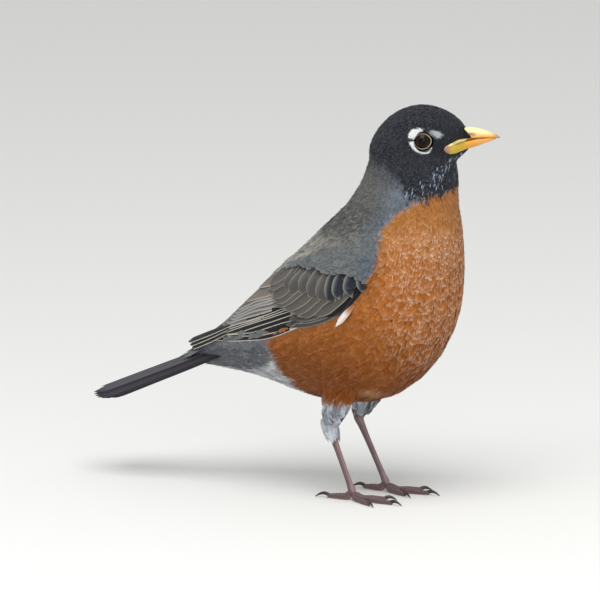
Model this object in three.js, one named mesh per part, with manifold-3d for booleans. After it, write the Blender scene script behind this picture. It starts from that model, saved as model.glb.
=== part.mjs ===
// American robin, standing alert on both feet, life size.
//
// Millimetres, +Z up. The bird faces +X and its right side is -Y. The floor is z = 0.
// The model is built about the point on the floor midway between the feet, and is moved
// at the end by FRAME_SHIFT, so that the origin lies under the middle of the whole bird.
//
// The fleshy body is two lofts joined into one solid, which thin cuts then part into head,
// neck, trunk and rump. Wings are shells that hug that body; toes, claws, bill and eyes are
// solids of their own.

import * as THREE from "three";
import { mergeVertices } from "three/addons/utils/BufferGeometryUtils.js";
import Module from "manifold-3d";

const wasm = await Module();
wasm.setup();

// ---------------------------------------------------------------- driving dimensions

const GAP = 0.3; // clearance between neighbouring pieces
const FRAME_SHIFT = [38.5, 0, 0]; // from the stance point to the middle of the bird

const HEAD_CENTRE = [22.9, 2.2, 167]; // middle of the skull
const HEAD_YAW = 18; // degrees that the head is turned to the bird's left
const HEAD_PITCH = 2.2; // degrees that the bill is raised
const NECK_AXIS = [16, 0]; // x and y of the vertical axis that the neck turns about

const EYE_RADIUS = 4.7;
const EYE_AT = [5.6, 9.0, -0.2]; // in the head's own frame, for the left eye

const FOOT_SPREAD = 26; // between the middles of the two feet
const TAIL_ROOT = [-60, 0, 71];
const TAIL_PITCH = 22.6; // degrees below the horizon
const TAIL_YAW = 9; // degrees that the tail is swung to the bird's right

// ---------------------------------------------------------------- colours

const finish = (colour, roughness) =>
  new THREE.MeshStandardMaterial({ color: colour, roughness, metalness: 0 });

const SLATE_BLACK = finish(0x26272b, 0.8);
const OLIVE_GREY = finish(0x5c5a55, 0.85);
const BRICK_ORANGE = finish(0xa9541f, 0.85);
const WING_GREY = finish(0x56544f, 0.75);
const QUILL_BLACK = finish(0x2b2928, 0.6);
const VENT_WHITE = finish(0xc9ccd0, 0.9);
const BILL_YELLOW = finish(0xe3a132, 0.4);
const EYE_BROWN = finish(0x140c08, 0.08);
const SHANK_BROWN = finish(0x5b4246, 0.55);
const CLAW_HORN = finish(0x2a2122, 0.4);

// ---------------------------------------------------------------- geometry helpers

const radians = THREE.MathUtils.degToRad;
const vec = (p) => new THREE.Vector3(...p);

// A closed surface through rings of points, capped by a fan at each end.
function throughRings(rings) {
  const around = rings[0].length;
  const points = rings.flat();
  const index = [];
  for (let r = 0; r + 1 < rings.length; r++)
    for (let s = 0; s < around; s++) {
      const t = (s + 1) % around;
      const [a, b] = [r * around + s, r * around + t];
      const [c, d] = [a + around, b + around];
      index.push(a, b, d, a, d, c);
    }
  const cap = (ring, first, turned) => {
    const middle = ring.reduce((sum, p) => sum.add(p), new THREE.Vector3());
    points.push(middle.divideScalar(around));
    const hub = points.length - 1;
    for (let s = 0; s < around; s++) {
      const [a, b] = [first + s, first + ((s + 1) % around)];
      index.push(hub, turned ? b : a, turned ? a : b);
    }
  };
  cap(rings[0], 0, true);
  cap(rings.at(-1), (rings.length - 1) * around, false);
  const geometry = new THREE.BufferGeometry().setFromPoints(points);
  geometry.setIndex(index);
  return facingOut(geometry);
}

function signedVolume(geometry) {
  const p = geometry.getAttribute("position");
  const index = geometry.index.array;
  const [a, b, c] = [new THREE.Vector3(), new THREE.Vector3(), new THREE.Vector3()];
  let sum = 0;
  for (let i = 0; i < index.length; i += 3) {
    a.fromBufferAttribute(p, index[i]);
    b.fromBufferAttribute(p, index[i + 1]);
    c.fromBufferAttribute(p, index[i + 2]);
    sum += a.dot(b.cross(c)) / 6;
  }
  return sum;
}

function flipped(geometry) {
  const index = geometry.index.array;
  for (let i = 0; i < index.length; i += 3)
    [index[i + 1], index[i + 2]] = [index[i + 2], index[i + 1]];
  return geometry;
}

const facingOut = (g) => (signedVolume(g) < 0 ? flipped(g) : g);

// The same shape on the other side of the bird.
const mirrored = (geometry) => flipped(geometry.clone().scale(1, -1, 1));

// Between two numbers by a rounded power: keeps the sign, and fills the corner out as it falls.
const fuller = (value, power) => Math.sign(value) * Math.abs(value) ** power;

// A surface whose stations give the outline seen from the side. Each has the top and the low
// point of a ring as [x, z], its half width, how far down from the top it is widest, and
// how far it is turned about the neck's axis. Called with how far along it a ring lies, the
// angle round the ring from its top, and how far the whole surface is moved outwards.
function outlineSurface(stations, square) {
  const path = (pick) => new THREE.CatmullRomCurve3(stations.map(pick));
  const top = path((s) => new THREE.Vector3(s.top[0], 0, s.top[1]));
  const low = path((s) => new THREE.Vector3(s.low[0], 0, s.low[1]));
  const rest = path((s) => new THREE.Vector3(s.half, s.widest ?? 0.5, s.yaw ?? 0));
  return (along, angle, grow) => {
    const [t, l, { x: half, y: widest, z: yaw }] = [top, low, rest].map((c) =>
      c.getPoint(along),
    );
    const centre = t.clone().lerp(l, widest);
    const rise = fuller(Math.cos(angle), square);
    const arm = (rise > 0 ? t : l).clone().sub(centre);
    arm.setLength(arm.length() + grow);
    const point = centre.addScaledVector(arm, Math.abs(rise));
    point.y = (half + grow) * fuller(Math.sin(angle), square);
    return turnedOnNeck(point, yaw);
  };
}

function outlineLoft(stations, { rings, around, grow = 0, square = 0.96 }) {
  const surface = outlineSurface(stations, square);
  const ring = (along) =>
    Array.from({ length: around }, (_, s) =>
      surface(along, (2 * Math.PI * s) / around, grow),
    );
  return throughRings(Array.from({ length: rings + 1 }, (_, r) => ring(r / rings)));
}

function turnedOnNeck(point, degrees) {
  const [x, y] = NECK_AXIS;
  point.sub(new THREE.Vector3(x, y, 0));
  point.applyAxisAngle(new THREE.Vector3(0, 0, 1), radians(degrees));
  return point.add(new THREE.Vector3(x, y, 0));
}

// A tube along given points. Each has a place, a half width across and a half depth, and
// "facing" is the direction that the depth is measured along.
function tube(stops, { around, facing, steps = 3 }) {
  const line = new THREE.CatmullRomCurve3(stops.map((s) => vec(s.at)));
  const sizes = new THREE.CatmullRomCurve3(
    stops.map((s) => new THREE.Vector3(s.across, s.deep ?? s.across, 0)),
  );
  const count = (stops.length - 1) * steps;
  const rings = [];
  for (let r = 0; r <= count; r++) {
    const u = r / count;
    const middle = line.getPoint(u);
    const along = line.getTangent(u);
    const side = new THREE.Vector3().crossVectors(vec(facing), along).normalize();
    const deep = new THREE.Vector3().crossVectors(along, side).normalize();
    const size = sizes.getPoint(u);
    const ring = [];
    for (let s = 0; s < around; s++) {
      const angle = (2 * Math.PI * s) / around;
      ring.push(
        middle
          .clone()
          .addScaledVector(side, size.x * Math.cos(angle))
          .addScaledVector(deep, size.y * Math.sin(angle)),
      );
    }
    rings.push(ring);
  }
  return throughRings(rings);
}

// ---------------------------------------------------------------- solids

function solid(geometry) {
  const bare = geometry.clone();
  bare.deleteAttribute("normal");
  bare.deleteAttribute("uv");
  const merged = mergeVertices(bare, 1e-4);
  return new wasm.Manifold(
    new wasm.Mesh({
      numProp: 3,
      vertProperties: merged.getAttribute("position").array,
      triVerts: new Uint32Array(merged.index.array),
    }),
  );
}

function geometryOf(piece) {
  const { vertProperties, triVerts, numProp } = piece.getMesh();
  const places = new Float32Array((vertProperties.length / numProp) * 3);
  for (let i = 0; i * numProp < vertProperties.length; i++)
    places.set(vertProperties.subarray(i * numProp, i * numProp + 3), i * 3);
  const geometry = new THREE.BufferGeometry();
  geometry.setAttribute("position", new THREE.BufferAttribute(places, 3));
  geometry.setIndex(new THREE.BufferAttribute(new Uint32Array(triVerts), 1));
  return geometry;
}

// The largest body of a solid that cutting has left in several.
const mainBody = (piece) =>
  piece.decompose().reduce((best, b) => (b.volume() > best.volume() ? b : best));

// Everything on one side of a plane, as a solid large enough for the whole bird.
const REACH = 400;
function beyond(point, normal) {
  const box = new THREE.BoxGeometry(REACH, REACH, REACH);
  box.translate(0, 0, REACH / 2);
  const turn = new THREE.Quaternion().setFromUnitVectors(
    new THREE.Vector3(0, 0, 1),
    vec(normal).normalize(),
  );
  box.applyQuaternion(turn).translate(...point);
  return solid(box);
}

// Cuts a solid by a plane into the piece behind it and the piece beyond it.
function parted(whole, { at, normal }) {
  const step = vec(normal).setLength(GAP / 2);
  const ahead = whole.intersect(beyond(vec(at).add(step).toArray(), normal));
  const back = vec(normal).negate().toArray();
  const behind = whole.intersect(beyond(vec(at).sub(step).toArray(), back));
  return [mainBody(behind), mainBody(ahead)];
}

const robin = new THREE.Group();

function add(name, piece, material) {
  const mesh = new THREE.Mesh(
    piece instanceof THREE.BufferGeometry ? piece : geometryOf(piece),
    material,
  );
  mesh.name = name;
  robin.add(mesh);
  return mesh;
}

// ---------------------------------------------------------------- body

// From the tips of the tail coverts over the rump, back and belly, up into the head.
const BODY = [
  { top: [-97, 56.5], low: [-97, 53], half: 5 },
  { top: [-89, 62], low: [-88, 53], half: 8.5, widest: 0.45 },
  { top: [-77, 71], low: [-75, 52], half: 12.5, widest: 0.45 },
  { top: [-65, 81], low: [-61, 51], half: 17.5, widest: 0.48 },
  { top: [-53, 92], low: [-46, 48.5], half: 23, widest: 0.5 },
  { top: [-42, 103], low: [-28, 44], half: 28, widest: 0.5 },
  { top: [-32, 112.5], low: [-6, 42], half: 31.5, widest: 0.5 },
  { top: [-25, 119.5], low: [14, 47], half: 33, widest: 0.52 },
  { top: [-19, 125.5], low: [31, 61], half: 33.8, widest: 0.52 },
  { top: [-13.5, 131], low: [41.6, 81], half: 33.3, widest: 0.52 },
  { top: [-9, 136], low: [45.2, 104], half: 30.5, widest: 0.5 },
  { top: [-5, 141.5], low: [45.2, 122], half: 26, widest: 0.5, yaw: 3 },
  { top: [-1, 148.5], low: [43.7, 138], half: 21, widest: 0.5, yaw: 9 },
  { top: [1.5, 156.5], low: [43.3, 151], half: 17.2, widest: 0.48, yaw: 15 },
  { top: [6, 166], low: [41, 162], half: 13, widest: 0.48, yaw: 18 },
];
const BODY_SQUARE = 0.97;
const BODY_DETAIL = { rings: 24, around: 22, square: BODY_SQUARE };

// The head in its own frame: x towards the bill, z up, from the middle of the skull.
const HEAD = [
  { top: [-21.5, -3], low: [-21.5, -10], half: 4.5 },
  { top: [-19, 2.5], low: [-19, -15], half: 9.2 },
  { top: [-14, 8.6], low: [-13, -18], half: 13 },
  { top: [-7.5, 13.2], low: [-6, -19], half: 14.6 },
  { top: [-0.5, 15.4], low: [1, -18], half: 14.3 },
  { top: [6, 15.6], low: [7, -15.5], half: 12.7 },
  { top: [11.5, 14.2], low: [12.5, -13], half: 10.5 },
  { top: [16.5, 11.9], low: [17.5, -11], half: 8.2 },
  { top: [20.5, 8.9], low: [21.5, -8.8], half: 6.1 },
  { top: [23.2, 5.6], low: [24.2, -6.4], half: 4.4 },
  { top: [24.2, 3.4], low: [25.2, -5.4], half: 2.6 },
];
const HEAD_DETAIL = { rings: 13, around: 18 };

// Puts a shape that is built in the head's own frame in its place on the bird.
const onHead = (geometry) =>
  geometry
    .rotateY(-radians(HEAD_PITCH))
    .rotateZ(radians(HEAD_YAW))
    .translate(...HEAD_CENTRE);

const headShape = (grow) =>
  solid(onHead(outlineLoft(HEAD, { ...HEAD_DETAIL, grow, square: 0.97 })));
const bodyShape = (grow) => solid(outlineLoft(BODY, { ...BODY_DETAIL, grow }));

const eyeBall = (side, radius) => {
  const ball = new THREE.SphereGeometry(radius, 12, 9);
  return onHead(ball.translate(EYE_AT[0], side * EYE_AT[1], EYE_AT[2]));
};

// The planes that part the head from the neck, the neck from the trunk and the trunk from
// the rump. Each faces forwards or up.
const JAW = { at: [22, 2, 149.5], normal: [0.2, 0.06, 0.98] };
const COLLAR = { at: [15, 0, 131.5], normal: [-0.1, 0, 1] };
const LOIN = { at: [-58, 0, 64], normal: [0.97, 0, 0.24] };

function buildBody() {
  const sockets = [-1, 1].map((side) => solid(eyeBall(side, EYE_RADIUS + GAP)));
  const whole = bodyShape(0).add(headShape(0));
  const [below, head] = parted(whole, JAW);
  const [torso, neck] = parted(below, COLLAR);
  const [rump, trunk] = parted(torso, LOIN);
  add("head", sockets.reduce((h, s) => h.subtract(s), head), SLATE_BLACK);
  add("neck", neck, OLIVE_GREY);
  add("trunk", trunk, BRICK_ORANGE);
  add("rump", rump, OLIVE_GREY);
}

// ---------------------------------------------------------------- eyes and bill

function buildEyes() {
  add("eye_right", eyeBall(-1, EYE_RADIUS), EYE_BROWN);
  add("eye_left", eyeBall(1, EYE_RADIUS), EYE_BROWN);
}

// Both halves of the bill in the head's frame. The gape turns down at its corner.
const UPPER_BILL = [
  { top: [14.5, 1], low: [14.2, -6.2], half: 4.6, widest: 0.85 },
  { top: [18.5, 3.6], low: [17.8, -3.0], half: 4.5, widest: 0.85 },
  { top: [22.4, 4.6], low: [22.4, -1.7], half: 4.0, widest: 0.85 },
  { top: [26.2, 4.7], low: [26.4, -0.6], half: 3.3, widest: 0.85 },
  { top: [30.2, 3.9], low: [30.2, 0], half: 2.5, widest: 0.85 },
  { top: [34.2, 2.6], low: [34.4, 0.2], half: 1.6, widest: 0.85 },
  { top: [37.2, 1.5], low: [37.3, 0.1], half: 0.8, widest: 0.8 },
  { top: [38.8, 0.4], low: [38.8, -0.2], half: 0.25, widest: 0.5 },
];
const LOWER_BILL = [
  { top: [14.6, -6.6], low: [15.2, -8.4], half: 4.2, widest: 0.15 },
  { top: [18.1, -3.4], low: [19.6, -6.2], half: 4.1, widest: 0.15 },
  { top: [22.6, -2.1], low: [23.8, -4.9], half: 3.5, widest: 0.15 },
  { top: [26.5, -1.0], low: [27.2, -4.1], half: 2.7, widest: 0.15 },
  { top: [30.2, -0.4], low: [30.4, -3.2], half: 2.0, widest: 0.15 },
  { top: [34.2, -0.2], low: [34.0, -1.9], half: 1.2, widest: 0.2 },
  { top: [37.0, -0.2], low: [37.0, -0.8], half: 0.4, widest: 0.3 },
];

function buildBill() {
  const face = headShape(0.05);
  const detail = { rings: 10, around: 10, square: 0.9 };
  // The head's root of the bill is a tapered plug, so that both halves show at the gape.
  for (const [name, stations] of [
    ["bill_upper", UPPER_BILL],
    ["bill_lower", LOWER_BILL],
  ]) {
    const whole = solid(onHead(outlineLoft(stations, detail)));
    add(name, mainBody(whole.subtract(face)), BILL_YELLOW);
  }
}

// ---------------------------------------------------------------- wings

// The wing's outline seen from the side: from the shoulder down its lower edge to the tip,
// and back along a line that lies outside the bird's back.
const WING_OUTLINE = [
  [10, 133.5],
  [18.5, 130],
  [23.5, 123.5],
  [24, 116],
  [21.5, 108.5],
  [17, 101.5],
  [8.5, 94.5],
  [-6.5, 84.5],
  [-24, 77],
  [-42, 71],
  [-66, 65.2],
  [-88, 60.2],
  [-104, 57],
  [-104, 75],
  [-70, 100],
  [-40, 130],
  [-15, 142],
  [0, 137.5],
];
// The part of the body's length that the wing lies along, from its tip to the shoulder, and
// how far its inner edge stays from the middle of the back at each end.
const WING_SPAN = [0.06, 0.76];
const MANTLE_HALF = [1.6, 15.5];
const WING_THICK = [1.2, 2.8];
const WING_EDGE = 1.1;
const WING_DETAIL = { rings: 20, across: 5 };

function insideOutline(outline, x, z) {
  let inside = false;
  outline.forEach((p, i) => {
    const q = outline.at(i - 1);
    const crosses = p.y > z !== q.y > z;
    if (crosses && x < p.x + ((q.x - p.x) * (z - p.y)) / (q.y - p.y)) inside = !inside;
  });
  return inside;
}

// The left wing, as a shell that lies on the body and is thin at all its edges.
function wingShell() {
  const surface = outlineSurface(BODY, BODY_SQUARE);
  const { rings, across } = WING_DETAIL;
  const { lerp, smoothstep } = THREE.MathUtils;
  const outline = new THREE.CatmullRomCurve3(
    WING_OUTLINE.map(([x, z]) => new THREE.Vector3(x, z, 0)),
    true,
  ).getPoints(90);
  const loops = [];
  for (let r = 0; r <= rings; r++) {
    const u = r / rings;
    const along = lerp(...WING_SPAN, u);
    const mantle = lerp(...MANTLE_HALF, u);
    // The angles round the body's ring that lie inside the outline.
    const angles = Array.from({ length: 600 }, (_, i) => 0.02 + i * 0.004);
    const kept = angles.filter((angle) => {
      const p = surface(along, angle, 0);
      return p.y > mantle && insideOutline(outline, p.x, p.z);
    });
    const [from, to] = [kept[0], kept.at(-1)];
    const full = lerp(...WING_THICK, smoothstep(u, 0, 0.6)) * (1 - smoothstep(u, 0.8, 1.05));
    const [outer, inner] = [[], []];
    for (let c = 0; c <= across; c++) {
      const v = c / across;
      const angle = lerp(from, to, v);
      const bulge = 1 - Math.abs(2 * v - 1) ** 2.6;
      outer.push(surface(along, angle, GAP + WING_EDGE + full * bulge));
      inner.push(surface(along, angle, -2));
    }
    loops.push([...outer, ...inner.reverse()]);
  }
  return mainBody(solid(throughRings(loops)).subtract(bodyShape(GAP)));
}

// The planes that part the coverts from the flight feathers, and the secondaries, above,
// from the primaries.
const COVERT_ENDS = { at: [-37.5, 0, 89], normal: [0.83, 0, -0.56] };
const LONGEST_QUILL = { at: [-55, 0, 77], normal: [-0.31, 0, 0.95] };

function buildWings() {
  const [flight, coverts] = parted(wingShell(), COVERT_ENDS);
  const [primaries, secondaries] = parted(flight, LONGEST_QUILL);
  for (const [part, piece, material] of [
    ["coverts", coverts, WING_GREY],
    ["secondaries", secondaries, WING_GREY],
    ["primaries", primaries, QUILL_BLACK],
  ]) {
    add(`wing_left_${part}`, piece, material);
    add(`wing_right_${part}`, mirrored(geometryOf(piece)), material);
  }
}

// ---------------------------------------------------------------- tail

const RECTRIX = { length: 84, width: 11.5, thick: 0.8, drop: 0.55, fan: 1.5, shift: 0.7 };
const TIP_STEP = [0, 0.4, 1.2, 2.6, 5, 9]; // how much shorter each feather is, middle first

// One tail feather, flat, from its root at the origin back along -x.
function rectrix(length, width) {
  const half = width / 2;
  const shape = new THREE.Shape();
  shape.moveTo(0, -half * 0.55);
  shape.lineTo(0, half * 0.55);
  shape.quadraticCurveTo(-length * 0.5, half * 0.9, -length + width, half);
  shape.quadraticCurveTo(-length + width * 0.25, half * 0.95, -length, 0);
  shape.quadraticCurveTo(-length + width * 0.25, -half * 0.95, -length + width, -half);
  shape.quadraticCurveTo(-length * 0.5, -half * 0.9, 0, -half * 0.55);
  return new THREE.ExtrudeGeometry(shape, {
    depth: RECTRIX.thick,
    bevelEnabled: false,
    curveSegments: 2,
  });
}

const onTail = (geometry) =>
  geometry
    .rotateY(-radians(TAIL_PITCH))
    .rotateZ(radians(TAIL_YAW))
    .translate(...TAIL_ROOT);

function tailFeather(side, place) {
  const { length, width, drop, fan, shift } = RECTRIX;
  const feather = rectrix(length - TIP_STEP[place], width);
  feather.rotateX(side * radians(4 + 2 * place));
  feather.rotateZ(-side * radians(fan * (place + 0.4)));
  feather.translate(0, side * (1.2 + shift * place), -drop * place - 1);
  return solid(onTail(feather));
}

function buildTail() {
  const rump = bodyShape(GAP);
  const joined = (side, places) =>
    places.map((p) => tailFeather(side, p)).reduce((sum, f) => sum.add(f));
  const middle = joined(-1, [0]).add(joined(1, [0]));
  const [left, right] = [1, -1].map((side) => joined(side, [1, 2, 3, 4, 5]));
  const split = (piece, side) => {
    const [x, y, z] = TAIL_ROOT;
    const [s, c] = [Math.sin(radians(TAIL_YAW)), Math.cos(radians(TAIL_YAW))];
    const off = side * (GAP / 2);
    return piece.intersect(beyond([x - s * off, y + c * off, z], [-s * side, c * side, 0]));
  };
  // The outer feathers lie under the middle pair, and make room for it.
  const under = (piece, side) => mainBody(split(piece, side).subtract(middle).subtract(rump));
  add("tail_middle", mainBody(middle.subtract(rump)), QUILL_BLACK);
  add("tail_right", under(right, -1), QUILL_BLACK);
  add("tail_left", under(left, 1), QUILL_BLACK);
}

// ---------------------------------------------------------------- legs

// Everything about one leg, with y given for the left and mirrored for the right.
const FOOT_Y = FOOT_SPREAD / 2;
const LEGS = {
  right: { side: -1, foot: [-1.4, FOOT_Y], ankle: [-12.7, 12.5, 30.6], knee: [-7, 15, 52] },
  left: { side: 1, foot: [1.4, FOOT_Y], ankle: [-12.6, 12.5, 32.6], knee: [-6, 15, 53] },
};
const INSTEP = 4.2; // height of the joint where the toes meet the shank

// length without the claw, angle from straight ahead (towards the outside), half its
// thickness, length of the claw and number of pads under it
const TOES = {
  middle: { length: 21, angle: 4, girth: 1.5, claw: 6.2, pads: 3 },
  inner: { length: 15, angle: -27, girth: 1.35, claw: 5.4, pads: 2 },
  outer: { length: 16, angle: 33, girth: 1.3, claw: 5.2, pads: 2 },
  hind: { length: 11.5, angle: 176, girth: 1.6, claw: 7.4, pads: 1 },
};

const SHANK_FACING = [1, 0, 0.4];

function thighShape(leg, grow) {
  const [kx, ky, kz] = leg.knee;
  const [ax, ay, az] = leg.ankle;
  const at = (t, back) => [
    kx + (ax - kx) * t - back,
    leg.side * (ky + (ay - ky) * t),
    kz + (az - kz) * t,
  ];
  const stops = [
    { at: at(0, 0), across: 7.5, deep: 9.5 },
    { at: at(0.35, 0), across: 6.4, deep: 7.6 },
    { at: at(0.62, 0.2), across: 4.9, deep: 5.4 },
    { at: at(0.85, 0.4), across: 3.2, deep: 3.6 },
    { at: at(0.99, 0.5), across: 1.7, deep: 2.0 },
  ].map((s) => ({ at: s.at, across: s.across + grow, deep: s.deep + grow }));
  return solid(tube(stops, { around: 12, facing: [1, 0, 0], steps: 1 }));
}

function shankShape(leg, grow) {
  const [fx, fy] = leg.foot;
  const [ax, ay, az] = leg.ankle;
  const at = (t) => [
    ax + (fx - ax) * t,
    leg.side * (ay + (fy - ay) * t),
    az + (INSTEP - az) * t,
  ];
  const stops = [
    [-0.05, 1.2, 1.3],
    [0, 1.75, 2.0],
    [0.1, 1.5, 1.75],
    [0.3, 1.15, 1.5],
    [0.65, 1.1, 1.4],
    [0.88, 1.35, 1.45],
    [0.97, 1.85, 1.6],
    [1.05, 1.4, 1.2],
  ].map(([t, across, deep]) => ({ at: at(t), across: across + grow, deep: deep + grow }));
  return solid(tube(stops, { around: 8, facing: SHANK_FACING, steps: 1 }));
}

// A toe along +x from the instep down to the floor, with a pad under each joint.
function toeShape({ length, girth, pads }, grow = 0) {
  const stops = [
    { at: [0.2, 0, INSTEP - 0.9], across: girth * 0.9 },
    { at: [length * 0.12, 0, girth + 0.9], across: girth },
  ];
  for (let j = 0; j < pads; j++) {
    const along = length * (0.28 + (0.66 * j) / pads);
    const thin = 1 - 0.09 * j;
    stops.push({ at: [along, 0, girth * thin * 0.8], across: girth * thin * 1.06 });
    const next = along + (length * 0.33) / pads;
    stops.push({ at: [next, 0, girth * thin * 0.82], across: girth * thin * 0.86 });
  }
  stops.push({ at: [length + 0.5 + grow, 0, girth * 0.62], across: girth * 0.55 });
  for (const stop of stops) stop.across += grow;
  return tube(stops, { around: 8, facing: [0, 0, 1], steps: 1 });
}

// A claw from the toe's end, arched up and down to a point on the floor.
function clawShape({ length, girth, claw }) {
  const high = girth * 0.62;
  const stops = [
    { at: [length - 0.2, 0, high], across: girth * 0.5, deep: girth * 0.58 },
    { at: [length + claw * 0.35, 0, high + claw * 0.16], across: 0.6, deep: 0.85 },
    { at: [length + claw * 0.72, 0, high + claw * 0.04], across: 0.42, deep: 0.6 },
    { at: [length + claw, 0, 0.3], across: 0.26, deep: 0.26 },
  ];
  return tube(stops, { around: 6, facing: [0, 0, 1], steps: 1 });
}

function buildLegs() {
  const belly = bodyShape(GAP);
  const floor = beyond([0, 0, 0], [0, 0, 1]);
  for (const [name, leg] of Object.entries(LEGS)) {
    add(`thigh_${name}`, mainBody(thighShape(leg, 0).subtract(belly)), VENT_WHITE);
    const cuff = thighShape(leg, GAP);
    const shank = mainBody(shankShape(leg, 0).subtract(cuff).intersect(floor));
    add(`shank_${name}`, shank, SHANK_BROWN);
    let taken = shankShape(leg, GAP);
    for (const [toe, sizes] of Object.entries(TOES)) {
      const place = (geometry) =>
        geometry
          .rotateZ(leg.side * radians(sizes.angle))
          .translate(leg.foot[0], leg.side * leg.foot[1], 0);
      const whole = solid(place(toeShape(sizes)));
      const claw = solid(place(clawShape(sizes)));
      add(`toe_${name}_${toe}`, mainBody(whole.subtract(taken).intersect(floor)), SHANK_BROWN);
      const room = solid(place(toeShape(sizes, GAP)));
      add(`claw_${name}_${toe}`, mainBody(claw.subtract(room).intersect(floor)), CLAW_HORN);
      taken = taken.add(room);
    }
  }
}

buildBody();
buildEyes();
buildBill();
buildWings();
buildTail();
buildLegs();
robin.position.set(...FRAME_SHIFT);

export default robin;
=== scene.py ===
# %% [markdown]
# # A standing American robin, feather by feather
#
# This lesson dresses a rigid bird, which is already the right size, in skin, feathers, horn and
# eyes. The body is one skin under thousands of small vanes. Each vane is a copy of a feather that
# is modelled once. The wing and tail feathers are laid one by one, in the order that a real folded
# wing stacks them.
#
# The numbers below are millimetres in the bird's own frame: x towards its breast, y to its left,
# z up, from the point on the floor midway between its feet. Blender's own unit is the metre.

# %% Load the rigid frame
import math

import bmesh
import bpy
import numpy as np
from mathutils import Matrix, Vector
from mathutils.bvhtree import BVHTree


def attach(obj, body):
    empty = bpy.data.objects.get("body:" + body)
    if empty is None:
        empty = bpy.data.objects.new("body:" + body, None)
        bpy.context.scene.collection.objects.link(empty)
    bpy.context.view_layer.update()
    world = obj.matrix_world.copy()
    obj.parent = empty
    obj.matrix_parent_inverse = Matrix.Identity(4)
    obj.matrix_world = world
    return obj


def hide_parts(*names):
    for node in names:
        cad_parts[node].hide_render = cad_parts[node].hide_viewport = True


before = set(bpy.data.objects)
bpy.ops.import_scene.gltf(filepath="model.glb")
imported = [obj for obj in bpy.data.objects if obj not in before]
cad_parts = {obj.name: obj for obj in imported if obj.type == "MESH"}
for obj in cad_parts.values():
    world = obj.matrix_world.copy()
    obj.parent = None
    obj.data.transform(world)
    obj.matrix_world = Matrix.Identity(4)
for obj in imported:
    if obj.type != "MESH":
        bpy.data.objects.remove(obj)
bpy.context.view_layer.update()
rng = np.random.default_rng(1903)
print("nodes in the frame:", len(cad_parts))

# %% Units and frames of reference
MM = 0.001
STANCE = np.array([38.5, 0.0, 0.0])  # where the bird's own origin is in the frame
SIDES = ((-1, "right"), (1, "left"))

HEAD_CENTRE = np.array([22.9, 2.2, 167.0])
HEAD_YAW = math.radians(18)
HEAD_PITCH = math.radians(2.2)


def to_frame(points):
    """Bird millimetres to metres in the frame."""
    return (np.asarray(points, float) + STANCE) * MM


def to_bird(points):
    """Metres in the frame to bird millimetres."""
    return np.asarray(points, float) / MM - STANCE


def spun(points, angle):
    """Points turned about the z axis."""
    c, s = math.cos(angle), math.sin(angle)
    x, y, z = np.moveaxis(np.asarray(points, float), -1, 0)
    return np.stack([c * x - s * y, s * x + c * y, z], -1)


def tipped(points, angle):
    """Points turned so that +x rises towards +z."""
    c, s = math.cos(angle), math.sin(angle)
    x, y, z = np.moveaxis(np.asarray(points, float), -1, 0)
    return np.stack([c * x - s * z, y, s * x + c * z], -1)


def from_head(points):
    """From the head's own axes (x to the bill, z up) to the bird's."""
    return spun(tipped(points, HEAD_PITCH), HEAD_YAW) + HEAD_CENTRE


def to_head(points):
    """From the bird's axes to the head's own."""
    return tipped(spun(np.asarray(points, float) - HEAD_CENTRE, -HEAD_YAW), -HEAD_PITCH)


EYE_RADIUS = 4.7
EYE_AT = np.array([5.2, 9.0, 0.25])  # the left eye's middle, in the head's frame
LOOK = np.array([0.158, 0.987, 0.02])  # the way that it looks


# How far back and down a point of the head seems to move, for each mm that it stands out.
SEEN_BACK, SEEN_DOWN = 0.213, 0.181


def seen_from_front_side(head):
    """Head points as they line up from the side, a little in front and above: ahead, and up."""
    out = np.abs(head[..., 1])
    return head[..., 0] - SEEN_BACK * out, head[..., 2] - SEEN_DOWN * out


EYE_SPOT = np.array(seen_from_front_side(EYE_AT + LOOK * 3.2))
print("middle of the eye as seen, mm:", EYE_SPOT.round(2))

# %% Small helpers for numbers and colours
def ramp(value, low, high):
    """0 below low, 1 above high, smooth between."""
    t = np.clip((np.asarray(value, float) - low) / (high - low), 0, 1)
    return t * t * (3 - 2 * t)


def unit(vectors):
    """The vectors, each made 1 long."""
    return vectors / np.maximum(np.linalg.norm(vectors, axis=-1, keepdims=True), 1e-9)


def ink(red, green, blue):
    """A colour as a painter reads it, 0 to 255, made linear for Blender."""
    c = np.array([red, green, blue]) / 255
    return np.where(c <= 0.04045, c / 12.92, ((c + 0.055) / 1.055) ** 2.4)


def mixed(a, b, amount):
    """From colour a at an amount of 0 to colour b at 1."""
    amount = np.asarray(amount, float)[..., None]
    return a * (1 - amount) + b * amount


# %% [markdown]
# ## The camera
#
# The bird is seen from its right and a little in front, from low down and far away, so that lines
# hardly converge. A long lens does this. The frame is square, and 600 dots of it cover 273 mm at
# the bird.

# %% Camera
VIEW_AZIMUTH = math.radians(30)
VIEW_HEIGHT = math.radians(10.5)
VIEW_ACROSS = 272.7  # millimetres at the bird from one edge of the picture to the other
VIEW_DISTANCE = 10000.0
AIM_RIGHT, AIM_UP = -31.4, 88.9  # the picture's middle, from the point between the feet

right = np.array([math.cos(VIEW_AZIMUTH), math.sin(VIEW_AZIMUTH), 0])
back = np.array(
    [
        math.sin(VIEW_AZIMUTH) * math.cos(VIEW_HEIGHT),
        -math.cos(VIEW_AZIMUTH) * math.cos(VIEW_HEIGHT),
        math.sin(VIEW_HEIGHT),
    ]
)
up = np.cross(back, right)
eye_point = right * AIM_RIGHT + up * AIM_UP + back * VIEW_DISTANCE

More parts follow.
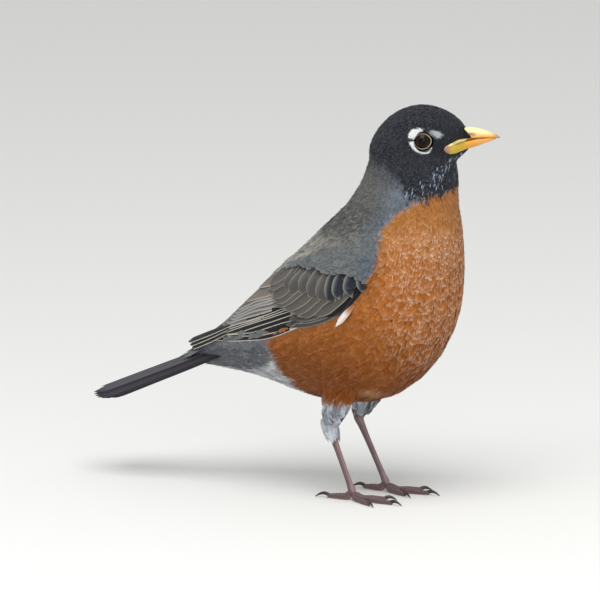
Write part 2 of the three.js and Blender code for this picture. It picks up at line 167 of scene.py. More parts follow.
bpy.ops.object.camera_add(
    location=Vector(to_frame(eye_point)),
    rotation=(math.pi / 2 - VIEW_HEIGHT, 0, VIEW_AZIMUTH),
)
camera = bpy.context.object
camera.name = "camera"
camera.data.sensor_width = 36
camera.data.lens = 36 * VIEW_DISTANCE / VIEW_ACROSS
camera.data.clip_end = 60
bpy.context.scene.camera = camera
print("lens, mm:", round(camera.data.lens, 1))

# %% [markdown]
# ## Materials
#
# A feather's colour is painted on its points, and its barbs are drawn by the material: fine
# stripes that leave the shaft at a slant. A vane has its own UV map, with u across it and v along
# it, so the stripes follow each feather however it lies.


# %% Node helpers
def new_material(name, roughness):
    """A material, its shader and a function that adds a node and links its inputs."""
    material = bpy.data.materials.new(name)
    material.use_nodes = True
    nodes, links = material.node_tree.nodes, material.node_tree.links
    shader = nodes["Principled BSDF"]
    shader.inputs["Roughness"].default_value = roughness

    def add(kind, settings=None, **inputs):
        node = nodes.new(kind)
        for key, value in (settings or {}).items():
            setattr(node, key, value)
        for key, value in inputs.items():
            key = int(key[1:]) if key.startswith("_") else key
            if isinstance(value, bpy.types.NodeSocket):
                links.new(value, node.inputs[key])
            else:
                node.inputs[key].default_value = value
        return node

    return material, shader, add, links


def maths(add, operation, a, b=0.0, c=0.0):
    """One sum. Only MULTIPLY_ADD has a third term."""
    node = add("ShaderNodeMath", {"operation": operation}, _0=a, _1=b)
    if operation == "MULTIPLY_ADD":
        node.inputs[2].default_value = c
    return node.outputs[0]


def painted_material(name, roughness, grain=0.0, scale=900.0, detail=3.0):
    """A material that shows a mesh's painted colours, with bumps of a height in metres."""
    material, shader, add, links = new_material(name, roughness)
    colour = add("ShaderNodeVertexColor", {"layer_name": "plumage"}).outputs["Color"]
    links.new(colour, shader.inputs["Base Color"])
    if grain:
        place = add("ShaderNodeTexCoord").outputs["Object"]
        noise = add("ShaderNodeTexNoise", None, Vector=place, Scale=scale, Detail=detail)
        bump = add("ShaderNodeBump", None, Strength=0.5, Distance=grain, Height=noise.outputs["Fac"])
        links.new(bump.outputs[0], shader.inputs["Normal"])
    return material


# %% Feather material
BARB_SLANT = 0.55


def feather_material(name, barbs, relief, roughness=0.72, contrast=0.16):
    """Painted colour, with slanting barbs: how many along a vane, and how deep in metres."""
    material, shader, add, links = new_material(name, roughness)
    paint = add("ShaderNodeVertexColor", {"layer_name": "plumage"}).outputs["Color"]
    vane = add("ShaderNodeUVMap", {"uv_map": "Vane"}).outputs[0]
    split = add("ShaderNodeSeparateXYZ", None, _0=vane).outputs
    u, v = split[0], split[1]
    aside = maths(add, "ABSOLUTE", maths(add, "SUBTRACT", u, 0.5))
    slant = maths(add, "MULTIPLY", aside, BARB_SLANT)
    phase = maths(add, "MULTIPLY", maths(add, "SUBTRACT", v, slant), barbs * 2 * math.pi)
    place = add("ShaderNodeTexCoord").outputs["Object"]
    blotch = add("ShaderNodeTexNoise", None, Vector=place, Scale=900.0, Detail=2.0)
    wander = maths(add, "MULTIPLY", blotch.outputs["Fac"], 5.0)
    stripe = maths(add, "SINE", maths(add, "ADD", phase, wander))
    shade = maths(add, "MULTIPLY_ADD", stripe, contrast * 0.5, 1.0 - contrast * 0.5)
    fine = maths(add, "MULTIPLY_ADD", blotch.outputs["Fac"], contrast * 2, 1.0 - contrast)
    value = maths(add, "MULTIPLY", shade, fine)
    grey = add("ShaderNodeCombineColor", None, Red=value, Green=value, Blue=value)
    tint = add(
        "ShaderNodeMix",
        {"data_type": "RGBA", "blend_type": "MULTIPLY"},
        _0=1.0,
        _6=paint,
        _7=grey.outputs[0],
    )
    links.new(tint.outputs[2], shader.inputs["Base Color"])
    bump = add("ShaderNodeBump", None, Strength=0.6, Distance=relief, Height=stripe)
    links.new(bump.outputs[0], shader.inputs["Normal"])
    shader.inputs["Sheen Weight"].default_value = 0.06
    shader.inputs["Sheen Roughness"].default_value = 0.5
    shader.inputs["Specular IOR Level"].default_value = 0.12
    return material


down = feather_material("contour feather", barbs=24, relief=0.00004, contrast=0.12)
quill = feather_material("flight feather", barbs=46, relief=0.00005, roughness=0.5, contrast=0.1)
print("feather materials:", down.name, "and", quill.name)

# %% [markdown]
# ## One skin under all the feathers
#
# The rigid model has the bird's outline over its feathers, parted into head, neck, trunk, rump,
# thighs and wings. Copies of those are joined and remeshed, which welds the parts into one skin,
# and the skin is drawn in by the depth of the coat. The feathers then fill what was drawn in.

# %% Remesh the flesh
FLESH = ["head", "neck", "trunk", "rump", "thigh_right", "thigh_left"] + [
    f"wing_{side}_{part}"
    for side in ("right", "left")
    for part in ("coverts", "secondaries", "primaries")
]
SKIN_VOXEL = 0.9


def only(*objects):
    """Selects these objects and no others, and makes the last one active."""
    bpy.ops.object.select_all(action="DESELECT")
    for o in objects:
        o.select_set(True)
    bpy.context.view_layer.objects.active = objects[-1]


def modify(obj, kind, **settings):
    """Adds a modifier and applies it."""
    only(obj)
    modifier = obj.modifiers.new(kind.lower(), kind)
    for key, value in settings.items():
        setattr(modifier, key, value)
    bpy.ops.object.modifier_apply(modifier=modifier.name)


only(*[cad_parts[name] for name in FLESH])
bpy.ops.object.duplicate()
bpy.ops.object.join()
skin = bpy.context.object
skin.name = skin.data.name = "skin"
skin.data.materials.clear()
modify(skin, "WELD", merge_threshold=0.00001)
modify(skin, "REMESH", mode="VOXEL", voxel_size=SKIN_VOXEL * MM)
modify(skin, "SMOOTH", factor=0.5, iterations=6)
print("skin faces:", len(skin.data.polygons))


# %% [markdown]
# ## Where a place is on the bird
#
# Plumage is described by place. The wing and back use two numbers: how far along the body's
# centre line a point lies, and its angle round that line, from 0 over the back to 90 at the side.
# The neck is turned, so its markings are looked up on the same bird with its head straightened.

# %% Coordinates round the body
WING_AXIS = np.array([-0.894, 0, -0.447])  # the way that the folded wing points
WING_UP = np.array([-0.447, 0, 0.894])
CENTRE_X = np.array([-110, -97, -60, -30, 0, 24, 60.0])
CENTRE_Z = np.array([52, 56, 66, 77, 90, 104, 128.0])
CENTRE_LINE = np.stack([CENTRE_X, 0 * CENTRE_X, CENTRE_Z], -1)


def station_angle(points):
    """Along the centre line, as the x of its point, and degrees round it from the top."""
    points = np.asarray(points, float)
    reach = CENTRE_LINE @ WING_AXIS
    x = np.interp(points @ WING_AXIS, reach[::-1], CENTRE_X[::-1])
    centre = np.stack([x, 0 * x, np.interp(x, CENTRE_X, CENTRE_Z)], -1)
    out = points - centre
    return x, np.degrees(np.arctan2(np.abs(out[..., 1]), out @ WING_UP))


NECK_AXIS_X = 16.0
NECK_FROM, NECK_TO = 118.0, 156.0


def straightened(points):
    """The points with the turn taken out of the neck and head."""
    points = np.asarray(points, float)
    angle = -HEAD_YAW * ramp(points[:, 2], NECK_FROM, NECK_TO)
    x, y = points[:, 0] - NECK_AXIS_X, points[:, 1]
    c, s = np.cos(angle), np.sin(angle)
    return np.stack([NECK_AXIS_X + c * x - s * y, s * x + c * y, points[:, 2]], -1)


# %% The lie of the feathers
# Each row: a place on the right side or the middle, and the way that feathers point there.
LIE = np.array(
    [
        [(40, 0, 143), (0.05, 0, -1)],  # down the middle of the underside
        [(46, 0, 112), (-0.05, 0, -1)],
        [(38, 0, 72), (-0.35, 0, -1)],
        [(15, 0, 47), (-0.9, 0, -0.5)],
        [(-12, 0, 42), (-1, 0, -0.05)],
        [(-45, 0, 48), (-1, 0, -0.1)],
        [(-85, 0, 53), (-1, 0, -0.3)],
        [(32, -26, 112), (-0.35, 0, -1)],  # down the flank
        [(26, -30, 85), (-0.6, 0, -1)],
        [(0, -32, 70), (-0.95, 0, -0.5)],
        [(-38, -24, 58), (-1, 0, -0.25)],
        [(20, -20, 140), (-0.25, 0, -1)],  # neck, back and rump
        [(2, -12, 148), (-0.45, 0, -1)],
        [(-8, -6, 133), (-0.7, 0, -0.7)],
        [(-45, -6, 98), (-0.76, 0, -0.65)],
        [(-80, -4, 68), (-0.85, 0, -0.45)],
        [(5, -30, 125), (-0.7, 0, -0.7)],  # folded wing
        [(15, -33, 108), (-0.75, -0.1, -0.7)],
        [(-20, -28, 95), (-0.85, 0, -0.5)],
        [(-9, -14, 38), (-0.25, 0, -1)],  # thigh
    ],
    float,
)
BILL_ROOT = from_head([[20, 0, -1]])[0]


def lie(points, normals):
    """The way that feathers point at each place, along the surface."""
    mirror = points * [1, -1, 1]
    mirror[:, 1] = -np.abs(points[:, 1])
    gap = ((mirror[:, None] - LIE[None, :, 0]) ** 2).sum(-1)
    weight = 1 / (gap + 20) ** 2
    body = (weight[..., None] * LIE[None, :, 1]).sum(1) / weight.sum(1)[:, None]
    body[:, 1] *= np.sign(points[:, 1] + 1e-6) * -1
    away = unit(points - BILL_ROOT)
    behind = ramp(-(points - HEAD_CENTRE) @ unit(BILL_ROOT - HEAD_CENTRE), -6, 16)
    away[:, 2] -= 0.9 * behind
    on_head = ramp(points[:, 2], 143, 156)[:, None]
    way = unit(body) * (1 - on_head) + unit(away) * on_head
    way -= normals * (way * normals).sum(-1, keepdims=True)
    return unit(way)


# %% [markdown]
# ## The plumage as one function
#
# Skin and feathers take their colours from the same function of place, so the skin between two
# vanes is the colour of the vanes. It gives a ground colour, the colour of a feather's fringe,
# how strong that fringe is, how dark the middle of the feather is, and how many of the finest
# feathers there are pale streaks.

# %% Colours of the plumage
HOOD = ink(34, 35, 41)
HOOD_EDGE = ink(92, 97, 108)
NAPE = ink(88, 89, 88)
NECK_SIDE = ink(98, 106, 116)
MANTLE = ink(140, 137, 130)
MANTLE_EDGE = ink(148, 144, 134)
RUMP = ink(100, 103, 108)
COVERT_BLUE = ink(104, 108, 108)
BEND_BLUE = ink(82, 93, 104)
COVERT_EDGE = ink(128, 132, 134)
BREAST = ink(163, 95, 34)
BREAST_PALE = ink(174, 117, 62)
# The belly's deeper orange, darkened further as painted shade of the underside.
BELLY_DEEP_AND_SHADED = ink(122, 62, 14)
FRINGE = ink(226, 192, 168)
VENT = ink(206, 208, 210)
VENT_BASE = ink(132, 136, 140)
EYE_WHITE = ink(232, 234, 236)
LORE_WHITE = ink(176, 182, 186)
STREAK = ink(168, 182, 200)
WING_SHADE = ink(62, 60, 60)
THIGH = ink(196, 201, 208)
THIGH_DARK = ink(120, 126, 136)
BUFF = ink(184, 138, 92)

# %% The edges of the folded wing
# Its lower edge, and its edge under the feathers of the back, as stations and angles.
EDGE_AT = [-90, -84, -72, -59, -47, -36, -13, 1, 8, 15, 21, 27, 30, 32]
EDGE_ANGLE = [46, 57, 69.5, 80, 86.5, 90.5, 92.8, 94.2, 93, 88, 84, 74, 63, 40]
SCAPULAR_AT = [-40, -20, 1, 14, 32]
SCAPULAR_ANGLE = [36, 39, 44, 49.5, 53]


def wing_edge(along):
    """The angle of the folded wing's lower edge at each station."""
    return np.interp(along, EDGE_AT, EDGE_ANGLE)


def wing_top(along):
    """The angle at which the wing begins, under the feathers of the back."""
    return np.interp(along, SCAPULAR_AT, SCAPULAR_ANGLE)


# %% White marks round the eye
def speckle(points, size, seed):
    """A cheap smooth noise from crossed waves, -1 to 1."""
    wave = np.random.default_rng(seed).normal(size=(6, 3)) / size * 2.2
    phase = np.random.default_rng(seed + 1).uniform(0, 6.28, 6)
    return np.sin(points @ wave.T + phase).mean(-1) * 1.6


# Degrees round the eye from in front over the top, and the inner and outer edge of the white.
UPPER_MARK = [
    [86, 98, 115, 135, 150, 166],
    [3.6, 3.6, 3.9, 4.2, 4.3, 4.5],
    [5.3, 6.1, 6.3, 7.1, 7.1, 6.6],
]
LOWER_MARK = [
    [182, 195, 227, 267, 295, 325],
    [3.8, 3.6, 3.3, 3.3, 3.6, 4.0],
    [6.3, 6.0, 5.6, 5.7, 6.0, 5.4],
]


def white_arc(turn, reach, mark):
    """1 inside the band that a mark's turns and radii give, with a soft edge."""
    turns, inner_edge, outer_edge = mark
    inner = np.interp(turn, turns, inner_edge) - 0.5
    outer = np.interp(turn, turns, outer_edge)
    ends = ramp(turn, turns[0] - 4, turns[0] + 2) * ramp(-turn, -turns[-1] - 4, -turns[-1] + 2)
    return ramp(reach, inner - 0.2, inner + 0.2) * ramp(outer - reach, -0.25, 0.25) * ends


def eye_marks(head):
    """White arcs over and under the eye, and the grey-white patch before it."""
    ahead, high = seen_from_front_side(head)
    x, z = ahead - EYE_SPOT[0], high - EYE_SPOT[1]
    reach = np.hypot(x, z)
    turn = np.degrees(np.arctan2(z, x)) % 360
    on_side = ramp(np.abs(head[:, 1]), 3, 5)
    white = np.maximum(white_arc(turn, reach, UPPER_MARK), white_arc(turn, reach, LOWER_MARK))
    patch = np.hypot((x - 6.4) / 3.3, (z - 3.3 + 0.15 * (x - 6.4)) / 1.6) + 0.2 * speckle(head, 1.1, 13)
    return white * on_side, ramp(-patch, -1.25, -0.6) * on_side


# %% Hood, throat and the border of the orange
# The upper edge of the throat's streaks, and the hood's lower border.
THROAT_AHEAD = [-9, -4.7, 0.9, 5.6, 10.2, 16.7, 20]
THROAT_HIGH = [-25, -24.5, -22, -18, -15.5, -8.8, -7]
HOOD_X = [-6, 4, 12, 21, 26, 34, 40, 46]
HOOD_Z = [156, 156, 153, 147, 142.5, 141, 143.5, 145]


def throat_streaks(head):
    """How many of the finest feathers are pale: most in a band from the chin to the neck's side."""
    ahead, high = seen_from_front_side(head)
    below = np.interp(ahead, THROAT_AHEAD, THROAT_HIGH) - high
    band = ramp(below, -1.5, 1.0) * (0.3 + 0.7 * ramp(-below, -6.5, -2.0))
    return 0.75 * band * ramp(-below, -14, -8)


def hood_amount(flat):
    """How far the black of the head comes down, with a soft edge behind and a ragged one below."""
    x, z = flat[:, 0], flat[:, 2]
    border = np.interp(x, HOOD_X, HOOD_Z)
    soft = np.interp(x, [10, 24], [5.0, 0.8])
    ragged = speckle(flat * [1, 1, 0.25], 2.0, 3) * np.interp(x, [6, 18, 26], [3.2, 2.2, 2.2])
    t = (z + ragged - border + soft) / (2 * soft)
    return np.clip(t, 0, 1)


# The rear border of the orange: over the shoulder, and down the flank to the vent.
SHOULDER_Z = [98, 101, 107, 113, 125, 130, 136, 140, 146]
SHOULDER_X = [-6, 6, 16, 21, 18, 19, 25, 30, 36]
FLANK_Z = [42, 50, 58, 66, 74, 84]
FLANK_X = [-24, -29, -34, -37, -40, -34]


def orange_amount(flat, points):
    """Breast, belly and flanks."""
    x, z = flat[:, 0], flat[:, 2]
    upper, lower = np.interp(z, SHOULDER_Z, SHOULDER_X), np.interp(z, FLANK_Z, FLANK_X)
    border = np.where(z > SHOULDER_Z[0], upper, lower)
    edge = x - border + speckle(points, 4, 5) * 1.6
    return ramp(edge, -1.6, 1.6)


# %% Colours of the underside and the upper side
BUFF_AT, BUFF_SIZE = [9, -15, 49], [6, 9, 5]
THIGH_X, THIGH_Y = -9.5, 13.5
GREY_X, GREY_DOWN_TO = [-80, -57, -46, -38], [52.5, 54.5, 56, 61]  # the rump's grey, at its sides


def underside(points, flat, wash, grain):
    """Orange breast and belly, white and grey thighs and vent: ground, fringe and its strength."""
    x, y, z = points.T
    low = ramp(-z, -96, -52)
    # Towards the bottom the orange darkens: partly the belly's deeper orange, partly painted shade of
    # the underside, which light from above leaves darker.
    under = mixed(BREAST, BELLY_DEEP_AND_SHADED, np.clip(low * 0.85 + 0.18 * wash, 0, 1))
    chest = ramp(z, 100, 134) * 0.6
    under = mixed(under, BREAST_PALE, np.clip(chest + 0.2 * wash, 0, 1))
    scallop = 0.16 + 0.62 * ramp(x, 14, 40) * ramp(-z, -136, -120)
    scallop *= 0.55 + 0.45 * ramp(z, 46, 70)
    vent = mixed(VENT, VENT_BASE, np.clip(0.25 + 0.5 * grain, 0, 1))
    rump_side = ramp(z - np.interp(x, GREY_X, GREY_DOWN_TO) + 1.5 * grain, -1.5, 1.5)
    vent = mixed(vent, RUMP, rump_side * ramp(-x, 34, 40))
    from_leg = np.hypot(x - THIGH_X, np.abs(y) - THIGH_Y)
    thigh = ramp(-z, -45.5, -42.5) * ramp(-from_leg, -12, -10)
    vent = mixed(vent, mixed(THIGH, THIGH_DARK, ramp(grain, -0.2, 0.5)), thigh)
    orange = orange_amount(flat, points) * (1 - thigh)
    from_buff = np.linalg.norm((points - BUFF_AT) / BUFF_SIZE, axis=-1)
    under = mixed(under, BUFF, 0.7 * ramp(-from_buff, -1.1, -0.4))
    strength = scallop * orange + 0.25 * (1 - orange)
    return mixed(vent, under, orange), mixed(VENT, FRINGE, orange), strength


def upper_side(along, angle, wash, grain):
    """Back, scapulars, rump and small coverts: ground, fringe and dark middles."""
    small_covert = ramp(angle - wing_top(along), -2, 3)
    bend = ramp(along, 12, 26) * ramp(angle, 56, 72)
    over = mixed(MANTLE, mixed(COVERT_BLUE, BEND_BLUE, bend), small_covert)
    over = mixed(over, RUMP, ramp(-along, 40, 60) * (1 - small_covert * 0.5))
    over *= (1 + 0.12 * wash)[:, None]
    flecks = (0.35 + 0.5 * ramp(grain, 0.1, 0.7)) * (1 - 0.6 * small_covert)
    return over, mixed(MANTLE_EDGE, COVERT_EDGE, small_covert), flecks


# %% The whole plumage
def plumage(points):
    """Ground and fringe colours, fringe strength, dark middle and streaks, at each place."""
    points = np.asarray(points, float)
    head, flat = to_head(points), straightened(points)
    along, angle = station_angle(points)
    dorsal = ramp(wing_edge(along) - angle, 1, 4) * ramp(-along, -33, -30)
    wash = speckle(points, 11, 7)
    grain = speckle(points, 3.2, 9)

    ground, fringe, strength = underside(points, flat, wash, grain)
    over, over_fringe, flecks = upper_side(along, angle, wash, grain)
    ground = mixed(ground, over, dorsal)
    fringe = mixed(fringe, over_fringe, dorsal)
    strength = strength * (1 - dorsal) + 0.45 * dorsal
    middle = 0.1 * (1 - dorsal) + flecks * dorsal

    # Neck
    neck = ramp(points[:, 2], 119, 127) * (1 - orange_amount(flat, points))
    collar = mixed(NAPE, NECK_SIDE, ramp(flat[:, 0], 8, 22)) * (1 + 0.14 * grain)[:, None]
    ground = mixed(ground, collar, neck)
    fringe = mixed(fringe, MANTLE_EDGE, neck * 0.7)
    middle = middle * (1 - neck) + 0.4 * neck

    # Hood, streaked throat and eye marks
    hood = hood_amount(flat)
    ground = mixed(ground, HOOD * (1 + 0.25 * wash[:, None]), hood)
    fringe = mixed(fringe, HOOD_EDGE, hood)
    strength = strength * (1 - hood) + 0.55 * hood
    middle = middle * (1 - hood) + 0.15 * hood
    streak = throat_streaks(head) * hood
    fringe = mixed(fringe, STREAK, 0.35 * streak)
    white, patch = eye_marks(head)
    ground = mixed(ground, LORE_WHITE, 0.9 * patch)
    ground = mixed(ground, EYE_WHITE, white)
    fringe = mixed(fringe, EYE_WHITE, np.maximum(white, patch * 0.7))
    middle = middle * (1 - np.maximum(white, patch))
    return ground, fringe, strength, middle, 0.45 * streak


# %% [markdown]
# ## Drawing in the skin
#
# The coat is thin on the face and deep on the belly. The skin is moved in along its normals by
# that depth, then painted.

# %% Depth of the coat
def coat_depth(points):
    """How far the feather tips stand over the skin, in mm."""
    head = to_head(points)
    face = np.linalg.norm(head - [14, 0, 0], axis=-1)
    on_head = np.interp(face, [8, 16, 30], [0.4, 0.55, 0.7])
    body = np.interp(points[:, 2], [44, 60, 130], [1.1, 0.95, 0.85])
    depth = mixed(body[:, None], on_head[:, None], ramp(points[:, 2], 138, 150))[:, 0]
    along, angle = station_angle(points)
    on_wing = (wing_edge(along) > angle) & (points[:, 2] < 138)
    depth = np.where(on_wing, 1.1, depth)
    shank = np.hypot(points[:, 0] + 10, np.abs(points[:, 1]) - 13)
    return np.where((points[:, 2] < 42) & (shank < 12), 0.7, depth)


def vertex_array(mesh, attribute="co"):
    """The places of a mesh's points, or their normals."""
    flat = np.empty(len(mesh.vertices) * 3)
    if attribute == "co":
        mesh.vertices.foreach_get("co", flat)
    else:
        mesh.vertex_normals.foreach_get("vector", flat)
    return flat.reshape(-1, 3)


skin_points = to_bird(vertex_array(skin.data))
skin_normals = vertex_array(skin.data, "normal")
skin_points -= skin_normals * coat_depth(skin_points)[:, None]
skin.data.vertices.foreach_set("co", to_frame(skin_points).ravel())
skin.data.update()
modify(skin, "SMOOTH", factor=0.5, iterations=3)
skin_points = to_bird(vertex_array(skin.data))
print("skin drawn in by", coat_depth(skin_points).min(), "to", coat_depth(skin_points).max(), "mm")


# %% Paint the skin
def paint(mesh, colours):
    """Writes one colour for each point of a mesh."""
    layer = mesh.color_attributes.new("plumage", "FLOAT_COLOR", "POINT")
    rgba = np.ones((len(mesh.vertices), 4))
    rgba[:, :3] = np.clip(colours, 0, 1)
    layer.data.foreach_set("color", rgba.ravel())


skin.data.materials.append(painted_material("feather bed", 0.9, 0.0004, 700.0, detail=4.0))

# The skin is painted a quarter darker than the feathers over it, as painted shade in the gaps between
# them.
bed_colour = plumage(skin_points)[0] * 0.75
bed_along, bed_angle = station_angle(skin_points)
flight_bed = ramp(-bed_along, -4, 6) * (wing_edge(bed_along) > bed_angle)
flight_bed = flight_bed * ramp(bed_angle, 16, 22)
# Under the laid wing feathers it is painted dark grey: the wing's colour, darkened as painted shade.
bed_colour = mixed(bed_colour, WING_SHADE * 0.6, flight_bed)
paint(skin.data, bed_colour)
bpy.ops.object.shade_smooth()
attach(skin, "root")

# %% A quick way to look things up on the skin
# The normals come from a smoother copy, so that feathers don't follow each small bump.
only(skin)
bpy.ops.object.duplicate()
fair = bpy.context.object
modify(fair, "SMOOTH", factor=0.5, iterations=25)
skin_normals = vertex_array(fair.data, "normal")
bpy.data.objects.remove(fair)
loops = np.empty(len(skin.data.polygons) * 4, int)
skin.data.polygons.foreach_get("vertices", loops)
skin_faces = loops.reshape(-1, 4)
face_normals = unit(skin_normals[skin_faces].mean(1))
face_lie = lie(skin_points[skin_faces].mean(1), face_normals)
surface = BVHTree.FromPolygons(skin_points.tolist(), skin_faces.tolist())
print("faces with a lie:", len(face_lie))

# %% [markdown]
# ## One feather, modelled once
#
# A contour feather is a grid. Its rows are drawn in towards the root and rounded at the tip, its
# middle is crowned, and an underside closes it, so it is a thin solid and not a sheet. Its x is
# across, from -1 to 1, its y is along, from 0 to 1, and its z is the crown.


# %% Model a vane
def tip_profile(s, root=0.45, round_from=0.72):
    """Half width of a vane along its length, for a widest place of 1."""
    base = root + (1 - root) * np.sin(np.clip(s / 0.55, 0, 1) * math.pi / 2)
    t = np.clip((s - round_from) / (1 - round_from), 0, 1)
    return base * np.sqrt(np.clip(1 - t**2, 0, 1) * 0.93 + 0.07)


def model_vane(name, columns, along, profile, tip_bow=0.12, ragged=0.0):
    """A vane whose columns lie at these places across: its points, triangles and underside."""
    across = len(columns) - 1
    bpy.ops.object.select_all(action="DESELECT")
    bpy.ops.mesh.primitive_grid_add(x_subdivisions=across, y_subdivisions=along, size=2)
    vane = bpy.context.object
    mesh = bmesh.new()
    mesh.from_mesh(vane.data)
    beneath = mesh.faces.layers.int.new("beneath")
    jitter = np.random.default_rng(5)
    place, plain = {}, {}
    for vert in mesh.verts:
        column = round((vert.co.x + 1) / 2 * across)
        row = round((vert.co.y + 1) / 2 * along)
        t = columns[column]
        s = 1 - (1 - row / along) ** 1.35  # rows crowd towards the tip, where the outline turns
        fray = -ragged * jitter.uniform(0.6, 1.4) * (row == along) * (column % 2)
        place[(row, column)], plain[vert] = vert, (t, s)
        vert.co = (t * profile(s), s * (1 - tip_bow * t * t) + fray, 1 - t * t)
    under = []
    for row in range(along):
        corners = [(row, 0), (row + 1, 0), (row + 1, across), (row, across)]
        under.append(mesh.faces.new([place[corner] for corner in corners]))
    for row in (0, along):
        ends = [place[(row, column)] for column in range(across + 1)]
        under.append(mesh.faces.new(ends if row else ends[::-1]))
    for face in under:
        face[beneath] = 1
    bmesh.ops.triangulate(mesh, faces=mesh.faces)
    bmesh.ops.recalc_face_normals(mesh, faces=mesh.faces)
    mesh.verts.index_update()
    rim = [
        [v.index for v in edge.verts]
        for edge in mesh.edges
        if len({face[beneath] for face in edge.link_faces}) == 2
    ]
    model = {
        "points": np.array([v.co for v in mesh.verts]),
        "plain": np.array([plain[v] for v in mesh.verts]),
        "triangles": np.array([[v.index for v in f.verts] for f in mesh.faces]),
        "below": np.array([f[beneath] for f in mesh.faces], bool),
        "rim": np.zeros((len(mesh.verts), len(mesh.verts)), bool),
    }
    for a, b in rim:
        model["rim"][a, b] = model["rim"][b, a] = True
    mesh.free()
    bpy.data.objects.remove(vane)
    print(name, "has", len(model["triangles"]), "triangles")
    return model


def wisp_profile(s):
    return np.interp(s, [0, 0.35, 0.75, 1], [0.6, 1, 0.75, 0.12])


EVEN_8 = np.linspace(-1, 1, 9)
BODY_VANE = model_vane("body vane", EVEN_8, 4, tip_profile, ragged=0.07)
FACE_VANE = model_vane("face vane", EVEN_8[::2], 3, lambda s: tip_profile(s, 0.6, 0.5), ragged=0.1)
WISP = model_vane("wisp", EVEN_8[::4], 3, wisp_profile, tip_bow=0)


# %% [markdown]
# ## Laying copies of a feather
#
# A feather starts at its root, and walks along the skin the way that feathers lie there. Its
# points are then set out from that walk: across it by their x, and up by the lift of the feather,
# which is buried at the root and stands clear at the tip, so that each tip covers the next root.


# %% Walk along the skin
WALK = 4


def walk_skin(roots, lengths, steps=WALK, sway=0.0):
    """Centre lines and their normals, for feathers that follow the skin."""
    lines = np.empty((len(roots), steps + 1, 3))
    ups = np.empty_like(lines)
    turn = rng.normal(0, sway, len(roots)) if sway else np.zeros(len(roots))
    for i, root in enumerate(roots):
        spot, _, face, _ = surface.find_nearest(root)
        stride = lengths[i] / steps
        for j in range(steps + 1):
            normal = face_normals[face]
            lines[i, j], ups[i, j] = spot, normal
            way = face_lie[face]
            if turn[i]:
                side = np.cross(normal, way)
                way = way * math.cos(turn[i]) + side * math.sin(turn[i])
            spot, _, face, _ = surface.find_nearest(Vector(np.array(spot) + way * stride))
    return lines, ups


# %% Set out vanes on their centre lines
def set_out(vane, lines, ups, widths, roots_at, tips_at, crowns, tilt=0.0):
    """Points of all the copies, as (copies, points of a vane, 3)."""
    points = vane["points"]
    steps = lines.shape[1] - 1
    s = np.clip(points[:, 1], 0, 1.2) * steps
    cell = np.minimum(s.astype(int), steps - 1)
    part = (s - cell)[None, :, None]
    ways = unit(np.gradient(lines, axis=1))
    sides = unit(np.cross(ways, ups))

    def between(values):
        return values[:, cell] * (1 - part) + values[:, cell + 1] * part

    centre, side, up_way = between(lines), unit(between(sides)), unit(between(ups))
    across = points[None, :, 0] * widths[:, None] / 2
    rise = roots_at[:, None] + (tips_at - roots_at)[:, None] * points[None, :, 1] ** 1.3
    rise = rise + points[None, :, 2] * crowns[:, None] + tilt * points[None, :, 0]
    return centre + side * across[..., None] + up_way * rise[..., None]


# %% Join many copies into one piece
PATCH = 0.003  # side of a feather's own patch of the unwrapped map


def patches(vane, points):
    """Maps each small feather to a patch at its root's place on an unwrap of the body, 0 to 1."""
    along, angle = station_angle(points)
    turn = angle * np.sign(points[:, 1] + 1e-9)
    high = points[:, 2] > 132
    around = np.degrees(np.arctan2(points[:, 1], points[:, 0] - NECK_AXIS_X))
    turn = np.where(high, around, turn)
    height = np.where(high, 40 + (points[:, 2] - 132) * 1.4, along)
    flat = np.stack([turn, height], -1)
    low, span = flat.min(0), np.ptp(flat, axis=0) + 1e-6
    places = 0.02 + 0.96 * (flat - low) / span
    return places[:, None] + (vane["plain"] * [0.5, 1] - [0, 0.5])[None] * PATCH


def strips(vane, copies):
    """A map where each of a few large feathers has a strip of its own."""
    own = vane["plain"] * [0.45, 0.96] + [0.5, 0.02]
    start = np.arange(copies)[:, None, None] * [1, 0]
    return (own[None] + start) / [copies, 1]


def join_copies(name, vane, placed, colours, spots, material):
    """One mesh of all the copies, painted and mapped. Spots are where each point is mapped."""
    triangles, copies, size = vane["triangles"], *placed.shape[:2]
    faces = (triangles[None] + (np.arange(copies) * size)[:, None, None]).reshape(-1, 3)
    mesh = bpy.data.meshes.new(name)
    mesh.vertices.add(copies * size)
    mesh.vertices.foreach_set("co", to_frame(placed.reshape(-1, 3)).ravel())
    mesh.loops.add(faces.size)
    mesh.loops.foreach_set("vertex_index", faces.ravel().astype(np.int32))
    mesh.polygons.add(len(faces))
    mesh.polygons.foreach_set("loop_start", np.arange(0, faces.size, 3, dtype=np.int32))
    mesh.polygons.foreach_set("use_smooth", np.ones(len(faces), bool))
    mesh.update(calc_edges=True)
    ends = np.empty(len(mesh.edges) * 2, np.int32)
    mesh.edges.foreach_get("vertices", ends)
    ends = ends.reshape(-1, 2) % size
    mesh.edges.foreach_set("use_edge_sharp", vane["rim"][ends[:, 0], ends[:, 1]])
    paint(mesh, colours.reshape(-1, 3))
    own = (vane["plain"] * [0.5, 1] + [0.5, 0])[triangles].reshape(-1, 2)
    mesh.uv_layers.new(name="Vane").data.foreach_set("uv", np.tile(own, (copies, 1)).ravel())
    mapped = spots[:, triangles.ravel()].reshape(-1, 2)
    mesh.uv_layers.new(name="OFBake").data.foreach_set("uv", mapped.ravel())
    mesh.materials.append(material)
    piece = bpy.data.objects.new(name, mesh)
    bpy.context.collection.objects.link(piece)
    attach(piece, "root")
    print(f"{name}: {copies} feathers, {len(faces)} triangles")
    return piece


